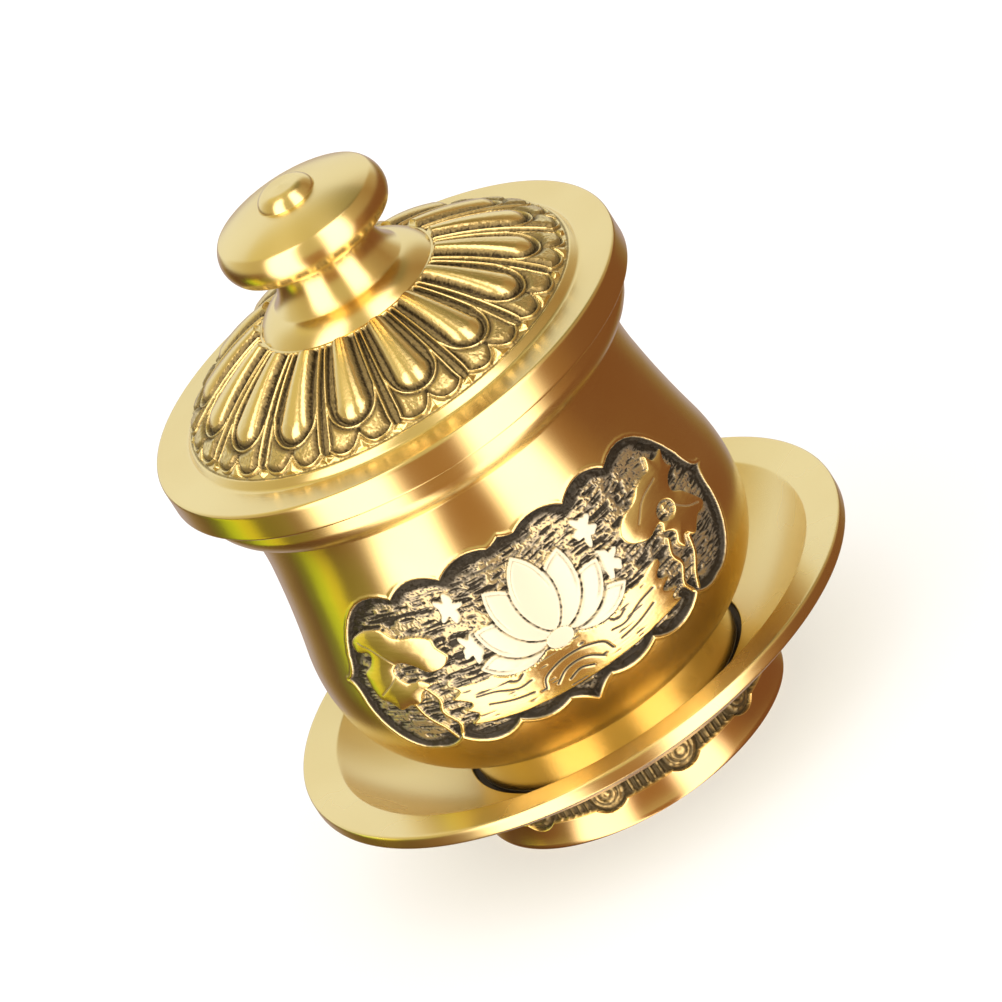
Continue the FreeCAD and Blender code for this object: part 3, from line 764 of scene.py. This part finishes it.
def lid_relief(rows, bearings, along):
    """Lotus petals on the dome; along is the arc length up from the dome's foot."""
    side = np.abs(from_petal_middle(bearings, LID_PETALS, LID_TURN))
    s = along[:, None]
    per_degree = np.radians(1) * rows[:, :1]
    x = side * per_degree
    # the long lobe, widest near its round outer end
    narrowing = np.clip((s - LOBE_END) / (PETAL_SPAN - LOBE_END), 0, 1)
    lobe_width = LOBE_RADIUS + (LOBE_TOP_RADIUS - LOBE_RADIUS) * narrowing ** 0.9
    lobe = lobe_width - np.hypot(x, np.minimum(s - LOBE_END, 0))
    # ribs along the petal's sides
    rib_line = RIB_BEARING + 0.5 * smooth(4.0 - s, 0, 3.0)
    from_rib = (side - rib_line) * per_degree
    rib = ridge(from_rib, 0.30) * smooth(s, 1.6, 2.6)
    channel = smooth(from_rib, 0.15, 0.42) * smooth(s, 1.2, 2.2)
    # the rim round the lobe's end, which runs into the ribs
    rim_width = np.minimum(CUP_RADIUS + np.maximum(s - CUP_END, 0) * 0.10, RIB_BEARING * per_degree)
    rim = rim_width - np.hypot(x, np.minimum(s - CUP_END, 0))
    rim_ridge = ridge(rim, 0.27)
    gutter = smooth(rim, 0.05, 0.45)
    # two pebbles between the rim, the rib and a scalloped lower edge
    share = np.clip(side / 9.9, 0, 1)
    lower = PEBBLE_LOW + np.where(share < 0.5, 2.3, 1.3) * np.abs(2 * share - 1) ** 2.3
    to_lower = (s - lower) * 0.94
    pebble = np.minimum.reduce([-rim - 0.24, -from_rib - 0.34, to_lower - 0.22, x - 0.10])
    scallop = ridge(to_lower + 0.06, 0.29) * (side < rib_line + 0.4)
    # faceted bosses along the foot, in the gaps under the scallops
    boss = np.minimum(-to_lower - 0.34, s - 0.45)
    gap = (180 / LID_PETALS - side) * per_degree
    stud = np.minimum(2.2 - s, s - 0.45) - gap * 0.55
    # heights above the dome: what lies low, then the channels beside the ribs, then what stands up
    lift = np.maximum.reduce([
        -0.40 - 0.5 * gutter + 0.15 * smooth(-rim, 0.0, 0.4),
        raised(LOBE_LEVELS, pillow(lobe, lobe_width * 0.9) * (lobe > 0)),
        raised(PEBBLE_LEVELS, pillow(pebble, 1.05) * (pebble > 0)),
    ])
    lift = np.maximum.reduce([
        lift - CHANNEL_DEPTH * channel,
        raised(RIB_LEVELS, rib), raised(RIM_LEVELS, rim_ridge), raised(SCALLOP_LEVELS, scallop),
        FACET_LEVEL + (0.85 - 0.20 * x) * np.clip(boss / 0.5, 0, 1),
        FACET_LEVEL + (0.80 - 0.25 * gap) * np.clip(stud / 0.5, 0, 1),
    ])
    # dark in the recesses, bright on what a polishing cloth reaches
    bright = np.maximum.reduce([
        smooth(lobe, 0.32, 0.75), smooth(rib, 0.5, 0.95), 0.72 * smooth(pebble, 0.25, 0.9),
        smooth(rim_ridge, 0.45, 0.9), smooth(scallop, 0.45, 0.9), smooth(boss, 0.02, 0.2),
        smooth(stud, 0.02, 0.2),
    ])
    crevice = np.maximum.reduce([
        ridge(lobe - 0.02, 0.20), ridge(from_rib - 0.36, 0.16), ridge(rim - 0.34, 0.15),
        ridge(pebble + 0.02, 0.17),
    ]) * (bright < 0.6)
    grain_x = bearings[None, :] * 2.4 + 0 * s
    grain = lattice_noise(grain_x, s * 4.6 + 0 * x, 31) - 0.5
    fine = lattice_noise(grain_x * 2.2, s * 9.0 + 0 * x, 32) - 0.5
    lift = lift + (0.16 * grain + 0.15 * fine) * (1 - 0.9 * smooth(bright, 0.4, 0.9))
    patina_and_shade = np.clip(0.74 * (1 - bright) + 0.32 * crevice + 0.22 * (grain + fine) * (bright < 0.9), 0, 1)
    on_dome = smooth(s, PETAL_START - 0.1, PETAL_START + 0.2) * (1 - smooth(s, PETAL_SPAN - 0.4, PETAL_SPAN))
    return lift * on_dome, patina_and_shade * on_dome


def lid_piece():
    """The lid, in fine rows on its dome."""
    coarse = lid_profile()
    top, foot = [np.argmin(np.hypot(*(coarse - end).T)) for end in (DOME_CROWN, DOME_FOOT)]
    lengths = np.linalg.norm(np.diff(coarse, axis=0), axis=1)
    # arc length of each profile point on the dome up from the dome's foot
    rise = np.zeros(len(coarse) + 1)
    rise[top:foot] = np.cumsum(lengths[top:foot][::-1])[::-1]
    rows, along = [], []
    for index, (point, after) in enumerate(zip(coarse, np.roll(coarse, -1, 0))):
        steps = 1
        if top <= index < foot:
            steps = max(int(round(lengths[index] / LID_CELL)), 1)
        rows += in_steps(point, after, steps)
        along += in_steps(rise[index], rise[index + 1], steps)
    rows = np.array(rows)
    bearings = even_bearings(LID_PETALS * LID_COLUMNS)
    lift, patina_and_shade = lid_relief(rows, bearings, np.array(along))
    return turned_piece("lid_surface", rows, bearings, lift, patina_and_shade, closed=True)


# ======== knob ========

def knob_profile():
    """The knob from the top of its button down to its collar, and the screw's blind hole."""
    hole_end = COLLAR_FOOT[1] + TAPPED_DEPTH
    corners = [(CENTRE_DOT, KNOB_TOP, 0), (*BUTTON_EDGE, 0.3)]
    for start, middle, end, rounding in (
            (BUTTON_EDGE, BUTTON_SIDE, BUTTON_ROOT, 0.15), (BUTTON_ROOT, HEAD_DOME, HEAD_EDGE, 0.35),
            (HEAD_EDGE, HEAD_SIDE, HEAD_RING, 0.3)):
        corners += sharp(arc_through(start, middle, end, 12)[:-1])
        corners.append((*end, rounding))
    corners += [(*HEAD_UNDER, 0.4), (*NECK_TOP, 0.4)]
    corners += sharp(arc_through(NECK_TOP, NECK_WAIST, NECK_FOOT, 14)[:-1])
    corners.append((*NECK_FOOT, 0.35))
    corners += sharp(arc_through(NECK_FOOT, COLLAR_MIDDLE, COLLAR_FOOT, 10)[:-1])
    corners += [
        (*COLLAR_FOOT, 0.1), (SCREW_HOLE, COLLAR_FOOT[1], 0.1), (SCREW_HOLE, hole_end, 0.1),
        (CENTRE_DOT, hole_end, 0),
    ]
    return subdivided(rounded(corners), 1.2)


# ======== shader nodes ========

def add(tree, kind, inputs=None, **settings):
    """A new node, whose inputs are plain values or the other nodes' outputs that feed them."""
    node = tree.nodes.new(kind)
    for name, value in settings.items():
        setattr(node, name, value)
    for socket, value in (inputs or {}).items():
        if isinstance(value, bpy.types.NodeSocket):
            tree.links.new(value, node.inputs[socket])
        else:
            node.inputs[socket].default_value = value
    return node


def empty_tree(owner):
    """The node tree of a material or a world, with nothing in it."""
    owner.use_nodes = True
    owner.node_tree.nodes.clear()
    return owner.node_tree


def calculate(tree, operation, *numbers, clamp=False):
    """The result of an operation on numbers and other nodes' outputs."""
    node = add(tree, "ShaderNodeMath", dict(enumerate(numbers)), operation=operation, use_clamp=clamp)
    return node.outputs["Value"]


def remap(tree, value, source=(0, 1), target=(0, 1), interpolation="LINEAR"):
    """A value carried over from one range to another, and held at its ends."""
    ranges = {"From Min": source[0], "From Max": source[1], "To Min": target[0], "To Max": target[1]}
    node = add(tree, "ShaderNodeMapRange", {"Value": value, **ranges}, interpolation_type=interpolation)
    return node.outputs["Result"]


def noise(tree, vector, scale, detail):
    node = add(tree, "ShaderNodeTexNoise", {"Vector": vector, "Scale": scale, "Detail": detail})
    return node.outputs["Fac"]


def ramp(tree, value, stops):
    """A colour that runs through the stops, pairs of a position from 0 to 1 and a colour."""
    node = add(tree, "ShaderNodeValToRGB", {"Fac": value})
    elements = node.color_ramp.elements
    while len(elements) > 1:
        elements.remove(elements[0])
    for number, (position, colour) in enumerate(stops):
        position = min(max(position, 0), 1)
        element = elements.new(position) if number else elements[0]
        element.position = position
        element.color = (*colour, 1)
    return node.outputs["Color"]


def blend(tree, share, first, second, mode="MIX"):
    """A mix of two colours."""
    node = add(tree, "ShaderNodeMix", {0: share, 6: first, 7: second}, data_type="RGBA", blend_type=mode)
    return node.outputs[2]


def blend_numbers(tree, share, first, second):
    return add(tree, "ShaderNodeMix", {0: share, 2: first, 3: second}, data_type="FLOAT").outputs[0]


# ======== materials ========

POLISHED_BRASS = (0.93, 0.78, 0.42)
TARNISH = (0.95, 0.92, 0.86)   # what a thin tarnish leaves of each colour
SATIN_COLOUR = (1.0, 0.93, 0.74, 1)
SATIN_ROUGHNESS = 0.5
SATIN_METAL = 0.25
STRETCH = 0.75                 # how far the turning marks stretch a highlight along the profile
ACROSS_MARKS = 0.25            # a quarter turn from the marks' own direction
RING_DEPTH = 0.02 * MM
GRAIN_DEPTH = 0.06 * MM
# noise cells to the metre
DRIFT_SCALE = 45
MOTTLE_SCALE = 2600
RING_SCALE = 2600
GRAIN_SCALE = 3500


def turning_rings(tree, place):
    """Turning marks: noise that depends only on the radius and the height."""
    x, y, z = add(tree, "ShaderNodeSeparateXYZ", {"Vector": place}).outputs
    square = calculate(tree, "MULTIPLY_ADD", y, y, calculate(tree, "MULTIPLY", x, x))
    ring = add(tree, "ShaderNodeCombineXYZ", {"X": calculate(tree, "SQRT", square), "Y": z})
    return noise(tree, ring.outputs["Vector"], RING_SCALE, 3)


def brass_colour(tree, amount, drift, polished, veil, dark, crevice):
    """Bare metal under a slow drift of tarnish, then a pale veil, the patina and painted shade, and their
    darkest lines.
    """
    tarnished = [level * left for level, left in zip(polished, TARNISH)]
    metal = ramp(tree, drift, [(0.32, tarnished), (0.68, polished)])
    depth = ramp(tree, amount, [(0.0, veil), (0.3, veil), (0.7, dark), (0.8, dark), (1.0, crevice)])
    return blend(tree, remap(tree, amount, (0.04, 0.34), interpolation="SMOOTHSTEP"), metal, depth)


def brass(name, polished=POLISHED_BRASS, veil=(0.55, 0.44, 0.22), dark=(0.27, 0.215, 0.115), crevice=None,
          polish_roughness=0.22, dark_roughness=0.5, dark_metal=0.55, marks=0.25, satin=False):
    """Lathe-turned, polished brass whose recesses carry a dark patina, and which also darkens where painted
    shade is marked, both from one vertex attribute.
    """
    material = bpy.data.materials.new(name)
    tree = empty_tree(material)
    place = add(tree, "ShaderNodeTexCoord").outputs["Object"]
    # the patina and painted shade are broken up by a fine mottle
    patina_and_shade = add(tree, "ShaderNodeAttribute", attribute_name="patina_and_shade").outputs["Fac"]
    mottle = remap(tree, noise(tree, place, MOTTLE_SCALE, 4), target=(0.85, 1.15))
    amount = calculate(tree, "MULTIPLY", patina_and_shade, mottle, clamp=True)
    drift = noise(tree, place, DRIFT_SCALE, 3)
    colour = brass_colour(tree, amount, drift, polished, veil, dark, crevice or dark)
    metal = remap(tree, amount, target=(1.0, dark_metal))
    # mirror-soft on the metal, matt in the recesses, uneven like wiped brass
    wiped = remap(tree, drift, target=(polish_roughness * 0.85, polish_roughness * 1.2))
    roughness = blend_numbers(tree, amount, wiped, dark_roughness)
    if satin:
        finish = add(tree, "ShaderNodeAttribute", attribute_name="satin").outputs["Fac"]
        clean = calculate(tree, "SUBTRACT", finish, amount, clamp=True)
        colour = blend(tree, clean, colour, SATIN_COLOUR)
        roughness = blend_numbers(tree, clean, roughness, SATIN_ROUGHNESS)
        metal = blend_numbers(tree, clean, metal, SATIN_METAL)
    rings = add(tree, "ShaderNodeBump", {
        "Height": turning_rings(tree, place), "Strength": marks, "Distance": RING_DEPTH})
    grain = add(tree, "ShaderNodeBump", {
        "Height": noise(tree, place, GRAIN_SCALE, 5), "Strength": amount, "Distance": GRAIN_DEPTH,
        "Normal": rings.outputs["Normal"]})
    tangent = add(tree, "ShaderNodeTangent", direction_type="RADIAL", axis="Z")
    shader = add(tree, "ShaderNodeBsdfPrincipled", {
        "Base Color": colour, "Metallic": metal, "Roughness": roughness, "Normal": grain.outputs["Normal"],
        "Anisotropic": STRETCH, "Anisotropic Rotation": ACROSS_MARKS, "Tangent": tangent.outputs["Tangent"]})
    add(tree, "ShaderNodeOutputMaterial", {"Surface": shader.outputs["BSDF"]})
    return material


# ======== pieces ========

def dress(piece, material, body, slot, *nodes):
    """Gives a piece its material and its body, and hides the CAD nodes that it stands for; the slot is not
    used.
    """
    piece.data.materials.append(material)
    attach(piece, body)
    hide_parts(*nodes)


def build_saucer():
    rows = saucer_profile()
    # painted shade: the saucer's near-black dark colour marks the shadow in the gap round the cup's foot
    piece = turned_piece("saucer_surface", rows, even_bearings(SAUCER_COLUMNS), patina_and_shade=saucer_gap_shade(rows))
    material = brass("saucer_polish", dark=(0.03, 0.017, 0.008), polish_roughness=0.26, marks=0.1)
    dress(piece, material, "saucer", "saucer_brass", "saucer_dish")


def build_foot():
    rows = foot_profile()
    bearings = even_bearings(FOOT_PETALS * FOOT_COLUMNS)
    lift, patina_and_shade = foot_relief(rows, bearings)
    piece = turned_piece("lotus_foot_surface", rows, bearings, lift, patina_and_shade, closed=True)
    material = brass(
        "foot_polish", polished=(0.87, 0.66, 0.36), veil=(0.44, 0.34, 0.16), dark=(0.13, 0.10, 0.05))
    dress(piece, material, "saucer", "foot_brass", "lotus_foot")


def build_cup():
    # dark is the colour of the panel ground's patina, and of the painted shade along the frame and at the
    # bottom of the foot
    material = brass(
        "cup_polish", veil=(0.36, 0.325, 0.26), dark=(0.032, 0.025, 0.016), polish_roughness=0.24,
        dark_roughness=0.55, dark_metal=0.1, satin=True)
    dress(cup_piece(), material, "cup", "cup_brass", "cup_body")


def build_lid():
    material = brass(
        "lid_polish", veil=(0.50, 0.40, 0.18), dark=(0.27, 0.21, 0.095), crevice=(0.05, 0.035, 0.015))
    dress(lid_piece(), material, "lid", "lid_brass", "lid_shell")


def build_knob():
    piece = turned_piece("knob_surface", knob_profile(), even_bearings(KNOB_COLUMNS))
    dress(piece, brass("knob_polish"), "lid", "knob_brass", "lid_knob")
    for node, polished in (("knob_washer", (0.82, 0.66, 0.36)), ("knob_screw", (0.62, 0.60, 0.56))):
        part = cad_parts[node]
        part.data.materials.clear()
        part.data.materials.append(brass(node + "_metal", polished=polished))


# ======== studio ========

VIEW_TURN = 2.0                # the camera stands this bearing round from the panel's middle
VIEW_RISE = 25.34              # its elevation
VIEW_ROLL = 32.79              # the cup leans this far to the left in the picture
VIEW_DISTANCE = 1700.55
VIEW_SHIFT = (2.205, 21.78)    # how far right of and above the saucer's middle it is aimed
LENS = 417.0
SENSOR = 36.0

WHITE = (2.97, 2.48, 1.93)
PALE = (0.90, 0.89, 0.8)
GREY = (0.48, 0.40, 0.428)
GOLD = (0.61, 0.50, 0.243)
OLIVE = (0.54, 0.42, 0.193)
AMBER = (0.39, 0.19, 0.0643)
BROWN = (0.22, 0.09, 0.0357)
DIM = (0.28, 0.18, 0.0571)
UMBER = (0.12, 0.055, 0.022)
# what the metal mirrors below its own height: bearing from the camera, colour
WALL_PANELS = [
    (-180, GREY), (-160, GREY), (-148, DIM), (-134, UMBER), (-106, UMBER), (-90, BROWN), (-75, DIM),
    (-64, WHITE), (-33, WHITE), (-24, AMBER), (3, AMBER), (12, WHITE), (40, WHITE), (52, AMBER),
    (76, BROWN), (135, BROWN), (150, DIM), (164, GREY), (178, GREY),
]
# the same, above it
UPPER_PANELS = [
    (-180, PALE), (-142, PALE), (-120, (0.71, 0.62, 0.393)), (-98, GOLD), (-74, OLIVE), (-65, WHITE),
    (-33, WHITE), (-24, GOLD), (4, GOLD), (12, WHITE), (40, WHITE), (50, (0.59, 0.44, 0.214)),
    (70, (0.46, 0.33, 0.157)), (100, (0.38, 0.24, 0.1)), (128, (0.54, 0.42, 0.236)), (146, PALE), (178, PALE),
]
# the two heights blend from slightly below the horizon to slightly above it
HORIZON = (-0.10, 0.06)
# the upper panels lean outwards, so the higher they are the wider they stand
UPPER_LEAN = -0.28
# overhead, from in front (0) over the top (0.5) to behind (1)
SKY_PANELS = [
    (0.0, (0.84, 0.67, 0.357)), (0.30, (0.67, 0.55, 0.271)), (0.5, (0.61, 0.50, 0.228)),
    (0.66, (0.65, 0.54, 0.243)), (0.80, (0.69, 0.58, 0.257)), (0.90, (0.79, 0.73, 0.543)), (1.0, PALE),
]
# overhead, how bright from left (0) to right (1)
SKY_ACROSS = [(0.0, 1.15), (0.45, 1.05), (0.56, 0.85), (0.66, 0.42), (0.85, 0.35), (1.0, 0.6)]
# the tops of the two bright panels, which reach in over the cup from in front, from left to right
FRONT_PANELS = [
    (0.0, GOLD), (0.21, GOLD), (0.25, WHITE), (0.37, WHITE), (0.41, GOLD), (0.53, GOLD), (0.57, WHITE),
    (0.71, WHITE), (0.76, OLIVE), (1.0, (0.40, 0.27, 0.114)),
]
FRONT_EDGE = (0.07, -0.02)     # they fade in from a little behind the zenith to a little in front
# the walls reach higher in front than behind
WALL_TILT = 0.25
WALL_TOP = (0.79, 0.86)
# green cards to the left, side by side from behind to in front: bearing from the camera, and the
# light that each adds to what stands behind it
GREEN = (0.02, 0.07, 0.001)
LIME = (0.33, 0.48, 0.005)
YELLOW = (0.50, 0.47, 0.01)
GREEN_CARDS = [(-113, GREEN), (-103, LIME), (-94, YELLOW), (-85, GREEN), (-76, GREEN)]
CARD_DISTANCE = 135.0
CARD_WIDTH = 23.0
# high enough that the saucer and the foot hardly show them from in front
CARD_LOW, CARD_HIGH = -8.0, 55.0


def by_bearing(panels):
    """Ramp stops, a whole turn from 0 to 1, for panels whose bearings count from the camera."""
    return [((bearing + VIEW_TURN + 180) / 360, colour) for bearing, colour in panels]


def mirrored_walls(tree, x, y, z):
    """The panels that stand round the cup."""
    bearing = calculate(tree, "ARCTAN2", x, calculate(tree, "MULTIPLY", y, -1))
    around = remap(tree, bearing, (-math.pi, math.pi))
    squeeze = calculate(tree, "MULTIPLY_ADD", calculate(tree, "MULTIPLY", z, z), UPPER_LEAN, 1)
    from_front = calculate(tree, "SUBTRACT", around, 0.5)
    leaned = calculate(tree, "MULTIPLY_ADD", from_front, squeeze, 0.5)
    above = remap(tree, z, HORIZON, interpolation="SMOOTHSTEP")
    lower = ramp(tree, around, by_bearing(WALL_PANELS))
    return blend(tree, above, lower, ramp(tree, leaned, by_bearing(UPPER_PANELS)))


def mirrored_ceiling(tree, x, y):
    """What hangs over the cup: a soft ceiling, and in front the tops of the bright panels."""
    back = calculate(tree, "MULTIPLY_ADD", y, 0.5, 0.5)
    across = calculate(tree, "MULTIPLY_ADD", x, 0.5, 0.5)
    levels = ramp(tree, across, [(place, (level,) * 3) for place, level in SKY_ACROSS])
    ceiling = blend(tree, 1, ramp(tree, back, SKY_PANELS), levels, mode="MULTIPLY")
    in_front = remap(tree, y, FRONT_EDGE, interpolation="SMOOTHSTEP")
    return blend(tree, in_front, ceiling, ramp(tree, across, FRONT_PANELS))


def studio_world():
    """A plain pale surround to look at, and bright and dark panels for the metal to mirror."""
    world = bpy.data.worlds.new("studio")
    bpy.context.scene.world = world
    tree = empty_tree(world)
    direction = add(tree, "ShaderNodeTexCoord").outputs["Generated"]
    x, y, z = add(tree, "ShaderNodeSeparateXYZ", {"Vector": direction}).outputs
    tilted = calculate(tree, "MULTIPLY_ADD", y, WALL_TILT, z)
    rise = remap(tree, tilted, WALL_TOP, interpolation="SMOOTHSTEP")
    mirrored = blend(tree, rise, mirrored_walls(tree, x, y, z), mirrored_ceiling(tree, x, y))
    studio, plain, soft = [
        add(tree, "ShaderNodeBackground", {"Color": colour}).outputs["Background"]
        for colour in (mirrored, (1, 1, 1, 1), (1, 0.99, 0.97, 1))]
    # the camera sees the plain one, and matt surfaces are lit by the soft one
    ray = add(tree, "ShaderNodeLightPath").outputs
    scattered = calculate(tree, "GREATER_THAN", ray["Diffuse Depth"], 0.5)
    seen = add(tree, "ShaderNodeMixShader", {0: ray["Is Camera Ray"], 1: studio, 2: plain})
    whole = add(tree, "ShaderNodeMixShader", {0: scattered, 1: seen.outputs["Shader"], 2: soft})
    add(tree, "ShaderNodeOutputWorld", {"Surface": whole.outputs["Shader"]})


def floor():
    """A wide sheet of pale paper, which the metal doesn't mirror."""
    reach = 60.0
    corners = [(-reach, -reach, 0), (reach, -reach, 0), (reach, reach, 0), (-reach, reach, 0)]
    mesh = bpy.data.meshes.new("floor")
    mesh.from_pydata(corners, [], [(0, 1, 2, 3)])
    plane = new_object("floor", mesh)
    material = bpy.data.materials.new("floor_paper")
    material.use_nodes = True
    shader = material.node_tree.nodes["Principled BSDF"]
    for socket, value in (
            ("Base Color", (0.62, 0.62, 0.62, 1)), ("Roughness", 0.9), ("Specular IOR Level", 0.0),
            ("Emission Color", (1, 1, 1, 1)), ("Emission Strength", 0.42)):
        shader.inputs[socket].default_value = value
    mesh.materials.append(material)
    plane.visible_glossy = False


def area_light(name, place, size, power, target):
    """A flat lamp aimed at a target, which the camera and mirror surfaces don't see."""
    lamp = bpy.data.lights.new(name, "AREA")
    lamp.shape = "RECTANGLE"
    lamp.size, lamp.size_y = size
    lamp.energy = power
    piece = new_object(name, lamp)
    piece.location = place
    piece.rotation_mode = "QUATERNION"
    piece.rotation_quaternion = (Vector(target) - Vector(place)).to_track_quat("-Z", "Y")
    piece.visible_camera = False
    piece.visible_glossy = False
    return piece


def green_cards():
    """Coloured cards that stand beside the object and are seen only in its mirror surfaces."""
    middle = (CARD_LOW + CARD_HIGH) / 2
    size = (CARD_WIDTH * MM, (CARD_HIGH - CARD_LOW) * MM)
    for number, (bearing, colour) in enumerate(GREEN_CARDS):
        angle = math.radians(bearing + VIEW_TURN)
        place = Vector((math.sin(angle) * CARD_DISTANCE, -math.cos(angle) * CARD_DISTANCE, middle)) * MM
        brightness = max(colour)
        power = 4 * size[0] * size[1] * brightness
        card = area_light(f"green_card_{number}", place, size, power, (0, 0, middle * MM))
        card.data.color = [level / brightness for level in colour]
        card.visible_glossy = True
        card.visible_diffuse = False


def camera():
    """Stands where the picture was taken from; the cup leans to the left in the picture."""
    rise, roll = math.radians(VIEW_RISE), math.radians(VIEW_ROLL)
    turn = Matrix.Rotation(math.radians(VIEW_TURN), 3, "Z")
    right = turn @ Vector((1, 0, 0))
    up = turn @ Vector((0, math.sin(rise), math.cos(rise)))
    back = turn @ Vector((0, -math.cos(rise), math.sin(rise)))
    middle = Vector((0, 0, SAUCER_TOP))
    place = middle + right * VIEW_SHIFT[0] + up * VIEW_SHIFT[1] + back * VIEW_DISTANCE
    rolled_right = right * math.cos(roll) - up * math.sin(roll)
    rolled_up = right * math.sin(roll) + up * math.cos(roll)
    axes = Matrix((rolled_right, rolled_up, back)).transposed()
    data = bpy.data.cameras.new("camera")
    data.lens = LENS
    data.sensor_width = SENSOR
    data.clip_start, data.clip_end = 0.05, 200
    piece = new_object("camera", data)
    piece.matrix_world = Matrix.Translation(place * MM) @ axes.to_4x4()
    bpy.context.scene.camera = piece


bpy.context.scene.view_settings.view_transform = "Standard"
build_saucer()
build_foot()
build_cup()
build_lid()
build_knob()
studio_world()
floor()
area_light("overhead", (-0.3, -0.2, 1.2), (1.2, 1.2), 1.5, (0, 0, 0.05))
green_cards()
camera()
